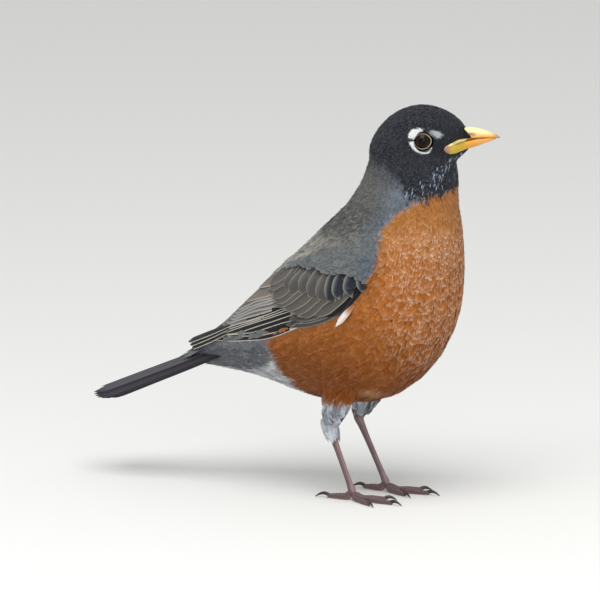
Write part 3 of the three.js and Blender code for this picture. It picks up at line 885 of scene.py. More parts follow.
def vane_colours(vane, placed, tone, drift):
    """Paints vanes by place: a fringe at the tip and sides, a darker middle, and painted shade towards
    the root.
    """
    copies, size = placed.shape[:2]
    shifted = placed + drift[:, None]
    looks = plumage(shifted.reshape(-1, 3))
    ground, fringe = (look.reshape(copies, size, 3) for look in looks[:2])
    strength, middle = (look.reshape(copies, size) for look in looks[2:4])
    t, s = np.abs(vane["plain"][:, 0]), vane["plain"][:, 1]
    rim = np.clip(ramp(s, 0.78, 0.99) + 0.4 * ramp(t, 0.7, 1.0) * ramp(s, 0.5, 0.8), 0, 1)
    shaft = ramp(-t, -0.55, 0.0) * ramp(-s, -0.98, -0.6)
    colour = mixed(ground, ground * 0.5, shaft[None] * middle)
    colour = mixed(colour, fringe, rim[None] * strength)
    # Painted shade: each vane is darker towards its root, which lies under the feathers before it.
    root_painted_shade = 0.92 + 0.08 * ramp(s, 0.1, 0.5)
    return colour * root_painted_shade[None, :, None] * tone[:, None, None]


def wisp_colours(placed, tone, drift, luck):
    """Paints wisps. Some take the fringe's colour, as many as its strength there says."""
    copies, size = placed.shape[:2]
    ground, fringe, strength, _, streak = plumage((placed[:, size // 2] + drift))
    colour = mixed(ground, fringe, (luck < 0.3 * strength) * (0.08 + 0.4 * ramp(strength, 0.2, 0.6)))
    colour = mixed(colour, STREAK, (luck < streak) * 0.85)
    return np.repeat((colour * tone[:, None])[:, None], size, 1)


# %% [markdown]
# ## Where feathers grow
#
# Roots are scattered over the skin and thinned, so that no two are closer than the spacing for
# their place. Feathers are smallest round the eye and bill and largest on the belly.


# %% Size of the feathers
def feather_length(points):
    """Length in mm at each place."""
    head = to_head(points)
    from_bill = np.linalg.norm(head - [20, 0, -1], axis=-1)
    from_eye = np.hypot(head[:, 0] - EYE_SPOT[0], head[:, 2] - EYE_SPOT[1])
    on_head = np.interp(from_bill, [4, 10, 22, 40], [1.5, 2.0, 3.4, 4.6])
    on_head = np.minimum(on_head, np.interp(from_eye, [4, 6, 10], [1.2, 1.4, 3.4]))
    body = np.interp(points[:, 2], [44, 70, 110, 135, 150], [9.5, 10.5, 9.0, 6.5, 4.6])
    along, angle = station_angle(points)
    on_wing = (wing_edge(along) > angle) & (points[:, 2] < 136)
    small = ramp(angle - wing_top(along), -3, 3)
    body = np.where(on_wing, 8.5 - 4.0 * small, body)
    body = np.minimum(body, np.interp(points[:, 0], [-90, -75, -62, -50], [4.5, 5.5, 7.0, 10.5]))
    leg = (points[:, 2] < 41) & (np.abs(points[:, 0] + 9) < 11)
    body = np.where(leg, 4.6, body)
    return np.where(points[:, 2] > 150, on_head, body)


GAPE_X = [14.7, 15.4, 17.2, 19.4, 21, 23, 25, 26.6]
GAPE_TOP = [-3.9, -2.6, -1.7, -0.6, 0.1, 0.4, 0.5, 0.5]
GAPE_LOW = [-4.6, -5.9, -6.9, -6.7, -6.1, -5.4, -4.7, -4.2]


def gape_edges(x):
    """Top and low edges of the bare corner of the mouth, in the head's frame."""
    return np.interp(x, GAPE_X, GAPE_TOP), np.interp(x, GAPE_X, GAPE_LOW)


EYE_SOCKET, EYE_SOCKET_RADIUS = [5.6, 9.0, 0.2], 4.9
THIGH_END = 31.5  # below this the leg is bare
COVERT_ANGLE = [20, 38, 42, 46, 50, 53, 57, 60, 63, 67, 71, 76, 82, 92]
COVERT_START = [-26, -15, -9.5, -6, -2.5, 0.5, 4.5, 6.5, 9.5, 14, 18, 20.5, 22.5, 24]


def covert_start(angle):
    """The station at which the small coverts end and the laid wing feathers start."""
    return np.interp(angle, COVERT_ANGLE, COVERT_START)


def bare(points):
    """Where no contour feathers grow: under the laid wing feathers, and on eyes, bill and feet."""
    along, angle = station_angle(points)
    inside = wing_edge(along) - 1 > angle
    off_back = angle > np.interp(along, [-90, -20], [14, 30])
    flight = inside & (along < covert_start(angle)) & off_back
    head, high = to_head(points), points[:, 2]
    eye = np.linalg.norm(np.abs(head) - EYE_SOCKET, axis=-1) < EYE_SOCKET_RADIUS
    bill = (head[:, 0] > 22.5) & (high > 158)
    top, low = gape_edges(head[:, 0])
    gape = (head[:, 0] > 14.6) & (head[:, 2] < top) & (head[:, 2] > low) & (high > 155)
    return flight | eye | bill | gape | (high < THIGH_END)


def lost_under_wing(roots, tips):
    """Flank feathers whose tips would climb on to the wing, which lies over them."""
    along, angle = station_angle(roots)
    return (angle > wing_edge(along) - 1) & bare(tips)


# %% Scatter and thin the roots
def scatter(count):
    """Random places all over the skin."""
    corners = skin_points[skin_faces]
    a, b, c, d = (corners[:, k] for k in range(4))
    area = np.linalg.norm(np.cross(c - a, d - b), axis=-1)
    pick = rng.choice(len(area), count, p=area / area.sum())
    u, v = rng.random((2, count, 1))
    top = corners[pick, 0] * (1 - u) + corners[pick, 1] * u
    low = corners[pick, 3] * (1 - u) + corners[pick, 2] * u
    return top * (1 - v) + low * v


AROUND = [(a, b, c) for a in (-1, 0, 1) for b in (-1, 0, 1) for c in (-1, 0, 1)]


def thin(points, spacing):
    """Keeps points that are at least their own spacing from those already kept."""
    kept, cells = [], {}
    size = float(spacing.max())
    keys = np.floor(points / size).astype(int)
    for i in range(len(points)):
        x, y, z = keys[i]
        p, gap = points[i], spacing[i] ** 2
        near = [j for a, b, c in AROUND for j in cells.get((x + a, y + b, z + c), ())]
        if near:
            far = ((points[near] - p) ** 2).sum(-1)
            if far.min() < gap:
                continue
        kept.append(i)
        cells.setdefault((x, y, z), []).append(i)
    return points[kept]


def over_coverts(points):
    """How much more the tips stand out where small coverts lie over the laid ones."""
    along, angle = station_angle(points)
    ahead = along - covert_start(angle)
    on_wing = wing_edge(along) - 2 > angle
    return 1.5 * on_wing * ramp(-ahead, -10, -5) * ramp(angle, 25, 40)


def tucked(points):
    """1 for flank feathers at the wing's edge, which lie flat under it, and 0 further out."""
    along, angle = station_angle(points)
    beyond = angle - wing_edge(along)
    return ramp(-beyond, -12, -5) * ramp(-along, -14, -2) * ramp(beyond, -2.5, -1.5)


def tip_rise(points):
    """How far the tips stand out, against the coat's depth. The belly and flanks are silky."""
    breast = ramp(points[:, 0], 8, 34) * ramp(points[:, 2], 70, 96)
    belly = ramp(-points[:, 2], -112, -92) * (1 - breast)
    return 0.5 - 0.26 * belly


# %% How feathers rise over the skin
# Of a feather's length; of the coat's depth; and in mm over the skin.
SPACING = 0.33
VANE_BURIED, WISP_BURIED = 0.3, 0.2
TUCKED_RISE = 0.04
WISP_CROWN = 0.04


def rooted(roots, lengths, sway):
    """Feathers laid from their roots, without those that the wing would hide."""
    lines, ups = walk_skin(roots, lengths, sway=sway)
    kept = ~lost_under_wing(roots, lines[:, -1])
    return roots[kept], lengths[kept], lines[kept], ups[kept]


def heights(roots, ends, rise, buried):
    """Heights over the skin of the feathers' roots and tips, in mm."""
    lift = over_coverts(roots)
    tips = rise + lift
    tips = tips + (TUCKED_RISE - tips) * np.maximum(tucked(roots), tucked(ends))
    return 0.75 * lift - buried * coat_depth(roots), tips


def drifted(lengths, span, reach):
    """Random steps to the place that a feather takes its colour from. Long feathers step further."""
    return rng.normal(0, 1, (len(lengths), 3)) * np.interp(lengths, span, reach)[:, None]


# %% Grow the feathers of a region
def grow(name, where, vane, slot, density):
    """Grows the feathers of one region."""
    spots = candidates[where(candidates)]
    roots = thin(spots, feather_length(spots) * SPACING / density)
    lengths = feather_length(roots) * rng.uniform(0.85, 1.15, len(roots))
    roots, lengths, lines, ups = rooted(roots, lengths, 0.12)
    x, z, count = roots[:, 0], roots[:, 2], len(roots)
    rise = coat_depth(roots) * rng.uniform(0.5, 0.9, count) * tip_rise(roots)
    bases, tips = heights(roots, lines[:, -1], rise, VANE_BURIED)
    broad = 0.3 * ramp(x, 16, 34) * ramp(z, 66, 90) * ramp(-z, -138, -128)
    widths = lengths * (rng.uniform(0.7, 0.85, count) + broad)
    placed = set_out(vane, lines, ups, widths, bases, tips, 0.01 * lengths)
    tone = rng.uniform(0.93, 1.06, count)
    colours = vane_colours(vane, placed, tone, drifted(lengths, [2, 6], [0.1, 0.6]))
    join_copies(name, vane, placed, colours, patches(vane, roots), down)


def strew(name, where, slot, each, longer=1.0, sway=0.22):
    """Strews one region with wisps, one to each so many square mm."""
    spots = candidates[where(candidates)]
    roots = spots[: int(len(spots) / candidates_per_mm2 / each)]
    lengths = (feather_length(roots) * rng.uniform(0.45, 0.75, len(roots)) + 0.6) * longer
    roots, lengths, lines, ups = rooted(roots, lengths, sway)
    count = len(roots)
    rise = coat_depth(roots) * rng.uniform(0.4, 0.8, count)
    bases, tips = heights(roots, lines[:, -1], rise, WISP_BURIED)
    widths = np.interp(lengths, [1.5, 5], [0.36, 0.56]) * rng.uniform(0.7, 1.3, count)
    placed = set_out(WISP, lines, ups, widths / longer, bases, tips, 0 * tips + WISP_CROWN)
    tone, luck = rng.uniform(0.88, 1.14, count), rng.random(count)
    colours = wisp_colours(placed, tone, drifted(lengths, [1.5, 4], [0.1, 0.7]), luck)
    join_copies(name, WISP, placed, colours, patches(WISP, roots), down)


TRIES = 150000
candidates = scatter(TRIES)
skin_area = sum(p.area for p in skin.data.polygons) / MM**2
candidates_per_mm2 = TRIES / skin_area
candidates = candidates[~bare(candidates)]
print("places to try:", len(candidates), "on", round(skin_area), "square mm")


# %% Regions of the coat
BODY_TOP, HEAD_LOW = 130, 153
FRONT_X, WISP_FRONT_X = 22, 14  # where the breast begins, for feathers and for wisps


def is_head(p):
    return p[:, 2] > HEAD_LOW


def is_face(p):
    head = to_head(p)
    eye = np.hypot(head[:, 0] - EYE_SPOT[0], head[:, 2] - EYE_SPOT[1]) < 9.5
    return is_head(p) & ((head[:, 0] > 11) | (eye & (np.abs(head[:, 1]) > 5)))


def is_neck(p):
    return (p[:, 2] > BODY_TOP) & ~is_head(p)


def is_throat(p):
    return throat_streaks(to_head(p)) > 0.15


def is_over(p):
    along, angle = station_angle(p)
    return (wing_edge(along) > angle) & (p[:, 2] <= BODY_TOP)


def is_under(p):
    return ~is_over(p) & (p[:, 2] <= BODY_TOP)


def is_belly(p):
    return is_under(p) & (p[:, 0] <= FRONT_X)


HEAD, BACK, FRONT = "head_plumage", "back_plumage", "breast_plumage"
# Each piece of the coat, its region, its vane, its slot and how dense it is.
REGIONS = [
    ("coat_face", is_face, FACE_VANE, HEAD, 1.15),
    ("coat_crown", lambda p: is_head(p) & ~is_face(p), BODY_VANE, HEAD, 1.1),
    ("coat_neck", is_neck, BODY_VANE, BACK, 1.1),
    ("coat_back_right", lambda p: is_over(p) & (p[:, 1] <= 0), BODY_VANE, BACK, 1.1),
    ("coat_back_left", lambda p: is_over(p) & (p[:, 1] > 0), BODY_VANE, BACK, 1.1),
    ("coat_breast", lambda p: is_under(p) & (p[:, 0] > FRONT_X), BODY_VANE, FRONT, 1.2),
    ("coat_belly_right", lambda p: is_belly(p) & (p[:, 1] <= 0), BODY_VANE, FRONT, 1.15),
    ("coat_belly_left", lambda p: is_belly(p) & (p[:, 1] > 0), BODY_VANE, FRONT, 1.15),
]
# The same for wisps: square mm to each, how much longer they are, and how far they sway.
WISPS = [
    ("wisps_head", is_head, HEAD, 0.9),
    ("wisps_throat", is_throat, HEAD, 0.9, 2.4, 0.1),
    ("wisps_neck", is_neck, BACK, 1.6),
    ("wisps_back", is_over, BACK, 1.6, 1.2),
    ("wisps_breast", lambda p: is_under(p) & (p[:, 0] > WISP_FRONT_X), FRONT, 1.5),
    ("wisps_belly", lambda p: is_under(p) & (p[:, 0] <= WISP_FRONT_X), FRONT, 1.3, 1.3),
]
for region in REGIONS:
    grow(*region)
for region in WISPS:
    strew(*region)

# %% [markdown]
# ## Wing and tail feathers
#
# A folded wing is a stack. The primaries are lowest, the secondaries lie over them, and the
# coverts over those. Each feather shows only the edge that its inner neighbour leaves clear, and
# that edge is pale. So a feather is given by the path of that edge over the body, as stations
# along it and angles round it, and by its height in the stack. Each point of its vane is then
# laid on the skin, because a flat vane would cut through the curved side.


# %% Vanes for the wing and tail
def quill_profile(s):
    return tip_profile(s, root=0.35, round_from=0.88)


def covert_profile(s):
    return tip_profile(s, root=0.5, round_from=0.68)


WEBS = [-1, -0.92, -0.84, -0.72, -0.45, -0.06, 0, 0.06, 0.45, 0.72, 0.84, 0.92, 1]
QUILL_VANE = model_vane("flight feather", WEBS, 18, quill_profile, tip_bow=0.03)
COVERT_VANE = model_vane("covert", WEBS, 12, covert_profile, tip_bow=0.06)
QUILL_STEPS = 12

# %% Lay a feather round the body
PATH_STEPS = 36
SLOPE = 0.05  # how much a vane sinks towards its covered edge, in mm for each mm
PAST_RUMP = 8.0  # distance from the middle where the skin has ended


def round_body(station, angle, side):
    """The skin's place and normal at a station and angle, and its distance from the middle."""
    centre = np.array([station, 0, np.interp(station, CENTRE_X, CENTRE_Z)])
    turn = math.radians(angle)
    way = WING_UP * math.cos(turn) + np.array([0, side * math.sin(turn), 0])
    spot, _, face, reach = surface.ray_cast(Vector(centre), Vector(way))
    if spot is None:
        return centre + way * PAST_RUMP, way, PAST_RUMP
    return np.array(spot), face_normals[face], reach


def smooth_through(stations, count):
    """Points on a smooth curve through the stations (Catmull-Rom), as an array."""
    values = np.asarray(stations, float)
    padded = np.vstack([2 * values[0] - values[1], values, 2 * values[-1] - values[-2]])
    u = np.linspace(0, len(values) - 1 - 1e-9, count)
    i, t = u.astype(int), (u % 1)[:, None]
    a, b, c, d = (padded[i + k] for k in range(4))
    cubic = 3 * b - a - 3 * c + d
    return 0.5 * (2 * b + (c - a) * t + (2 * a - 5 * b + 4 * c - d) * t**2 + cubic * t**3)


def lay_feather(vane, edge, width, root, tip, side, covered):
    """A vane on the skin. Its clear edge follows the path, and its other edge lies under."""
    path = smooth_through(edge, PATH_STEPS)
    reach = np.array([round_body(*spot, side)[2] for spot in path])
    reach = np.convolve(np.pad(reach, 3, "edge"), np.ones(7) / 7, "valid")
    flat = np.stack([path[:, 0] / -WING_AXIS[0], np.radians(path[:, 1]) * reach], -1)
    forward = unit(np.gradient(flat, axis=0))
    across = np.stack([-forward[:, 1], forward[:, 0]], -1) * covered
    length = np.concatenate([[0], np.cumsum(np.linalg.norm(np.diff(flat, axis=0), axis=-1))])
    v = np.clip(vane["points"][:, 1], 0, 1) * length[-1]

    def along(values):
        return np.stack([np.interp(v, length, column) for column in values.T], -1)

    out = vane["points"][:, 0] * side * covered
    inwards = (1 - out) * width / 2
    spot = along(flat) + along(across) * inwards[:, None]
    station = spot[:, 0] * -WING_AXIS[0]
    angle = np.degrees(spot[:, 1] / np.interp(v, length, reach))
    height = root + (tip - root) * np.minimum(1, vane["points"][:, 1] / 0.7)
    height = height - SLOPE * inwards + 0.04 * vane["points"][:, 2]
    laid = [round_body(*place, side)[:2] for place in zip(station, angle)]
    return np.array([place + normal * h for (place, normal), h in zip(laid, height)])


# %% Paint a feather and lay a row
def web_colours(vane, side, width, stops, tip_edge, shaft=0.6):
    """Colours by distance from the clear edge, in mm, the same rim round the tip, and a shaft."""
    t, s = vane["plain"][:, 0] * side, vane["plain"][:, 1]
    away = (1 - t) * width / 2
    places = [place for place, _ in stops]
    shades = np.array([shade for _, shade in stops])
    web = np.stack([np.interp(away, places, shades[:, k]) for k in range(3)], -1)
    web = mixed(web, shades[0], tip_edge * ramp(s, 0.9, 0.985))
    return mixed(web, shades[-1] * 0.5, shaft * ramp(-np.abs(t), -0.06, -0.01))


UNEVEN = 0.25  # how far, in mm and degrees, a feather's path strays from the one given


def lay_row(name, vane, edges, width, rises, stops, tip_edge, covered=1, root=0.1):
    """Lays a row of feathers on each wing. Rises are of the tips of the row's first and last."""
    widths = np.resize(width, len(edges))
    for side, label in SIDES:
        laid = []
        for edge, size, tip in zip(edges, widths, np.linspace(*rises, len(edges))):
            path = edge + rng.normal(0, UNEVEN, (len(edge), 2))
            laid.append(lay_feather(vane, path, size, tip * root, tip, side, covered))
        webs = [web_colours(vane, side * covered, size, stops, tip_edge) for size in widths]
        laid, webs, spots = np.array(laid), np.array(webs), strips(vane, len(edges))
        join_copies(f"{name}_{label}", vane, laid, webs, spots, quill)


# %% Primaries, secondaries and tertials
# Outermost first. Each path is stations and angles that the clear edge of a feather passes.
PRIMARY_EDGES = [
    [(2, 94), (-12, 94), (-24, 92.8), (-38, 92), (-47, 88.5), (-59, 82), (-72, 71), (-82, 60)],
    [
        (0, 91.5), (-12, 91.5), (-25, 90), (-36, 88), (-44, 86), (-50, 82), (-62, 74), (-76, 63),
        (-86, 54),
    ],
    [(0, 88), (-14, 87.5), (-28, 84), (-41, 82), (-48, 80), (-56, 75), (-70, 65), (-88, 50)],
    [(0, 84), (-14, 83), (-28, 80), (-40, 78), (-47, 77.5), (-55, 75), (-62, 70), (-72, 63), (-87, 49)],
    [(0, 81), (-14, 80), (-28, 77), (-44, 73), (-60, 68), (-75, 61), (-84, 53)],
    [(0, 78), (-14, 77.5), (-28, 75), (-44, 71), (-60, 65), (-72, 59), (-79, 54)],
    [(0, 76), (-14, 75), (-28, 72.5), (-44, 69), (-60, 62.5), (-68, 58), (-74, 54)],
]
SECONDARY_EDGES = [
    [(-4, 76), (-14, 76), (-25, 74), (-35, 72), (-43, 70), (-50, 67), (-59, 62), (-68, 56)],
    [(-4, 74), (-14, 73.5), (-26, 71.5), (-36, 68), (-45, 65), (-51, 62), (-58, 58.5), (-65, 54)],
    [(-5, 71), (-15, 71), (-28, 68), (-38, 64), (-47, 61), (-55, 57), (-62, 52)],
    [(-6, 68), (-16, 68), (-28, 65), (-37, 61), (-47, 57.5), (-55, 53.5), (-60, 50)],
    [(-7, 66), (-16, 65.5), (-28, 62.5), (-38, 58), (-46, 54.5), (-53, 51), (-58, 47)],
    [(-8, 63), (-16, 63), (-28, 60), (-38, 54.5), (-45, 51.5), (-52, 48), (-56, 45)],
]
TERTIAL_EDGES = [
    [(-9, 61), (-18, 60.5), (-29, 57), (-38, 51.5), (-46, 47), (-53, 42)],
    [(-10, 52), (-20, 51), (-29, 47), (-36, 41), (-44, 32)],
    [(-12, 40), (-20, 38), (-28, 33), (-35, 25)],
]
# Colours across a vane, by the distance in mm from its clear edge.
# Away from the clear edge most webs grow darker where the next feather lies over them: partly the web's
# own darker middle, partly painted shade.
BLACK, PALE_LINE = ink(22, 21, 22), ink(204, 199, 186)
PRIMARY_STOPS = [(0, PALE_LINE), (0.2, PALE_LINE), (0.48, BLACK), (1.4, BLACK), (3, BLACK * 1.4)]
GREY_LINE, GREY_WEB, GREY_GAP_SHADE = ink(168, 163, 155), ink(138, 136, 134), ink(76, 73, 72)
SECONDARY_STOPS = [
    (0, GREY_LINE), (0.25, GREY_LINE), (0.6, GREY_WEB), (0.95, GREY_WEB), (1.4, GREY_GAP_SHADE)
]
BROWN_LINE, BROWN = ink(186, 172, 152), ink(108, 99, 92)
TERTIAL_STOPS = [
    (0, BROWN_LINE), (0.25, BROWN_LINE), (0.6, BROWN * 1.15), (3, BROWN), (5, BROWN * 0.85)
]
lay_row("primaries", QUILL_VANE, PRIMARY_EDGES, 7, (0.28, 0.48), PRIMARY_STOPS, 0.2, root=0.7)
lay_row("secondaries", QUILL_VANE, SECONDARY_EDGES, 9, (0.52, 0.8), SECONDARY_STOPS, 0.3)
lay_row("tertials", COVERT_VANE, TERTIAL_EDGES, 11, (0.88, 1.05), TERTIAL_STOPS, 0.9)

# %% Coverts
PRIMARY_COVERT_EDGES = [
    [(14, 89.5), (8, 93.5), (-4, 95), (-14, 94.3), (-25, 91)],
    [(12, 87), (4, 91.5), (-6, 92), (-16, 90.5), (-22, 87)],
    [(10, 86), (1, 89.5), (-8, 90.5), (-17, 88), (-21, 85.5)],
]
ALULA_EDGES = [
    [(20, 86), (12, 90.5), (4, 93.8), (-5, 93.5)],
    [(18, 85), (11, 88.5), (4, 92), (-2, 92.2)],
]
GREATER_EDGES = [
    [(16, 84.5), (11, 87.5), (3, 88.8), (-5, 91), (-10, 92)],
    [(12, 79), (4, 82), (-1, 82.8), (-6, 85.5), (-12, 88.5), (-16, 89.5)],
    [(8, 75), (1, 78), (-4, 79.5), (-9, 81.5), (-15, 84), (-19, 86)],
    [(5, 71), (-1, 73), (-5, 75), (-10, 76.5), (-16, 78.5), (-22, 81)],
    [(1, 66), (-4, 68.5), (-11, 70), (-17, 72), (-23, 74), (-27, 75.5)],
    [(-3, 61), (-8, 63.5), (-14, 67), (-20, 69.5), (-27, 70.5)],
    [(-6, 57), (-11, 60), (-16, 62.5), (-21, 64.5), (-28, 65)],
    [(-8, 50), (-14, 53), (-20, 55.5), (-27, 57), (-30, 57)],
    [(-9, 47), (-14, 49), (-20, 50.5), (-26, 50), (-30, 48)],
]
# Near the bend of the wing they point down, and each lies under the one before it.
BEND_EDGES = [
    [(21.5, 71), (17.5, 76), (15.5, 80.5), (14.5, 86)],
    [(17, 67), (12, 73), (9.5, 79), (9, 86)],
    [(12, 63), (7.5, 70), (4, 77), (3.5, 83)],
    [(8, 60), (4, 67), (1.5, 74), (-0.5, 79)],
]
MEDIAN_EDGES = [
    [(7, 57), (1, 64), (-2.5, 69), (-5, 74)],
    [(3, 53), (-3, 59), (-6.5, 64), (-9, 69)],
    [(-1, 50), (-6.5, 54), (-10, 58.5), (-13, 63)],
    [(-5, 46), (-10, 50), (-13.5, 53.5), (-17, 57)],
    [(-8, 42), (-13, 45), (-16, 48), (-20, 50)],
]
# The coverts' webs also darken away from the clear edge: partly their own colour, partly painted shade
# under the next feather.
SLATE_LINE, SLATE, ALULA_BLACK = ink(124, 120, 110), ink(70, 70, 71), ink(22, 22, 26)
SLATE_STOPS = [
    (0, SLATE_LINE), (0.2, ink(118, 115, 106)), (0.6, SLATE), (1.6, SLATE * 0.75), (3, SLATE * 0.6)
]
ALULA_STOPS = [(0, ink(60, 60, 64)), (0.2, ink(48, 48, 52)), (0.5, ALULA_BLACK), (3, ALULA_BLACK)]
COVERT_LINE, COVERT_WEB = ink(138, 132, 122), ink(86, 82, 78)
GREATER_STOPS = [
    (0, COVERT_LINE), (0.2, COVERT_LINE), (0.6, COVERT_WEB * 1.06), (2, COVERT_WEB),
    (3.4, COVERT_WEB * 0.75),
]
BEND_LINE, BEND_DARK = ink(128, 126, 117), ink(36, 40, 49)
BEND_STOPS = [
    (0, BEND_LINE), (0.3, BEND_LINE), (1.1, ink(84, 86, 88)), (2, BEND_DARK), (4, BEND_DARK)
]
MEDIAN_LINE, MEDIAN_WEB = ink(126, 122, 115), ink(94, 92, 89)
MEDIAN_STOPS = [
    (0, MEDIAN_LINE), (0.25, MEDIAN_LINE), (0.8, MEDIAN_WEB), (2.4, MEDIAN_WEB * 0.7),
    (4, MEDIAN_WEB * 0.6),
]
lay_row("primary_coverts", COVERT_VANE, PRIMARY_COVERT_EDGES, 6, (0.5, 0.62), SLATE_STOPS, 0.4)
lay_row("alula", COVERT_VANE, ALULA_EDGES, 4, (0.68, 0.74), ALULA_STOPS, 0.2)
lay_row("greater_coverts", COVERT_VANE, GREATER_EDGES, 8, (0.95, 1.4), GREATER_STOPS, 0.75, root=0.6)
lay_row("bend_coverts", COVERT_VANE, BEND_EDGES, (5, 6, 6, 6), (1.45, 1.35), BEND_STOPS, 0.9, -1)
lay_row("median_coverts", COVERT_VANE, MEDIAN_EDGES, 7, (1.3, 1.4), MEDIAN_STOPS, 0.9, -1)

# %% A loose white feather under the edge of the right wing
# It isn't mirrored. Each barb of it has a tone of its own.
LOOSE_ROOT, LOOSE_TIP = np.array([[11.0, -33.3, 94.6]]), np.array([[2.0, -33.9, 83.4]])
LOOSE_COLUMNS = 17
t = np.linspace(0, 1, QUILL_STEPS + 1)[:, None]
loose = LOOSE_ROOT * (1 - t) + LOOSE_TIP * t
loose[:, 1] -= 0.8 * np.sin(t[:, 0] * math.pi)
loose_up = unit(np.array([[0.05, -1.0, 0.3]])) * np.ones((len(t), 1))
LOOSE_VANE = model_vane("loose feather", np.linspace(-1, 1, LOOSE_COLUMNS), 14, tip_profile, 0.15, 0.07)
width, root, tip, crown = np.array([[3.1], [-0.5], [0.55], [0.15]])
placed = set_out(LOOSE_VANE, loose[None], loose_up[None], width, root, tip, crown)
across, along_it = LOOSE_VANE["plain"].T
loose_ink = mixed(ink(170, 104, 58), ink(222, 218, 214), ramp(along_it, 0.2, 0.5))
column = np.round((LOOSE_COLUMNS // 2) * (1 + across)).astype(int)
barbs = np.random.default_rng(8).uniform(0, 1, LOOSE_COLUMNS)[column]
loose_ink = mixed(loose_ink, ink(176, 140, 116), 0.75 * ramp(barbs, 0.45, 0.9))
strip = strips(LOOSE_VANE, 1)
join_copies("loose_feather", LOOSE_VANE, placed, loose_ink[None], strip, down)

# %% The tips of the longest primaries
# They stand clear of the rump. Each goes from a root on the wing to a tip over the tail.
TIP_ROOTS = np.array([[-62, 17.5, 75.6], [-63, 18.2, 74.0], [-64, 18.8, 72.0]])
TIP_ENDS = np.array([[-90.5, 7.5, 63.6], [-89.3, 8.1, 62.5], [-88, 8.7, 61.4]])
TIP_WIDTH, TIP_CROWN = 3.2, 0.2
TIP_RISE = np.array([0.6, 0.3, 0.0])
for side, label in SIDES:
    mirror = [1, side, 1]
    lines = np.array([a * mirror * (1 - t) + b * mirror * t for a, b in zip(TIP_ROOTS, TIP_ENDS)])
    lines[:, :, 1] += side * 0.7 * np.sin(t[:, 0] * math.pi)
    ups = np.ones_like(lines) * [0, side * 0.75, 0.66]
    flat = 0 * TIP_RISE
    placed = set_out(QUILL_VANE, lines, ups, flat + TIP_WIDTH, TIP_RISE, TIP_RISE, flat + TIP_CROWN)
    webs = np.array([web_colours(QUILL_VANE, side, TIP_WIDTH, PRIMARY_STOPS, 0.2)] * 3)
    name = f"primary_tips_{label}"
    join_copies(name, QUILL_VANE, placed, webs, strips(QUILL_VANE, 3), quill)

# %% [markdown]
# ## The tail
#
# Twelve feathers lie in two stacks of six, the middle one of each on top. The two halves lean
# like a shallow roof, and the outer feathers are shorter.

# %% Tail feathers
TAIL_ROOT = np.array([-60.0, 0, 71.0])
TAIL_PITCH = math.radians(22.6)
TAIL_YAW = math.radians(9)
TAIL_LENGTH, TAIL_WIDTH = 84.0, 9.4
TAIL_FAN, TAIL_SHIFT, TAIL_DROP = 0.5, 0.7, 0.62  # degrees, mm out and mm down for each feather
TAIL_TONES = np.array([1.0, 0.5, 1.0, 1.1, 0.55, 0.45])
TAIL_STEP = [0, 0.4, 1.2, 2.6, 5, 9]  # how much shorter each feather is than the middle one
TAIL_OUT, TAIL_LOW, TAIL_CROWN = 3.9, 0.6, 0.35
TAIL_LEAN, TAIL_ROLL = math.radians(12), math.radians(6)
TAIL_INK, TAIL_EDGE = ink(66, 62, 70), ink(18, 17, 19)
TAIL_STOPS = [
    (0, TAIL_EDGE), (0.3, TAIL_EDGE), (0.8, TAIL_INK * 1.25), (4, TAIL_INK), (9, TAIL_INK * 0.8)
]


def from_tail(points):
    """From the tail's own axes (x towards the body, z up) to the bird's, with no shift."""
    return spun(tipped(points, TAIL_PITCH), TAIL_YAW)


def tail_feather(side, place):
    """Centre line and normals of one tail feather, from root to tip."""
    t = np.linspace(0, 1, QUILL_STEPS + 1)
    length = TAIL_LENGTH - TAIL_STEP[place]
    sag = 1.2 * t * t * (place * 0.12 + 0.2)
    line = np.stack([-length * t, 0 * t, -sag], -1)
    lean = side * TAIL_LEAN - TAIL_ROLL
    up_way = np.array([0, math.sin(lean), math.cos(lean)])
    line = spun(line, -side * math.radians(TAIL_FAN * (place + 0.4)))
    line += [0, side * (TAIL_OUT + TAIL_SHIFT * place), -TAIL_DROP * place - TAIL_LOW]
    line[:, 2] += line[:, 1] * math.tan(TAIL_ROLL)
    return from_tail(line) + TAIL_ROOT, np.repeat(from_tail(up_way[None]), len(line), 0)


def lay_tail_half(side, label):
    """The six feathers of one half, from the middle outwards."""
    lines, ups = np.array([tail_feather(side, place) for place in range(6)]).swapaxes(0, 1)
    flat = np.zeros(6)
    placed = set_out(QUILL_VANE, lines, ups, flat + TAIL_WIDTH, flat, flat, flat + TAIL_CROWN)
    colour = web_colours(QUILL_VANE, side, TAIL_WIDTH, TAIL_STOPS, 0.35, 0.4)
    colours, spots = colour[None] * TAIL_TONES[:, None, None], strips(QUILL_VANE, 6)
    name = f"tail_feathers_{label}"
    return join_copies(name, QUILL_VANE, placed, colours, spots, quill)


tail_right, tail_left = [lay_tail_half(*half) for half in SIDES]

# %% Tail coverts
TAIL_COVERT_ROWS = ((-13, 24, 7), (-9, 20, 8))  # where a row starts, its length and its feathers


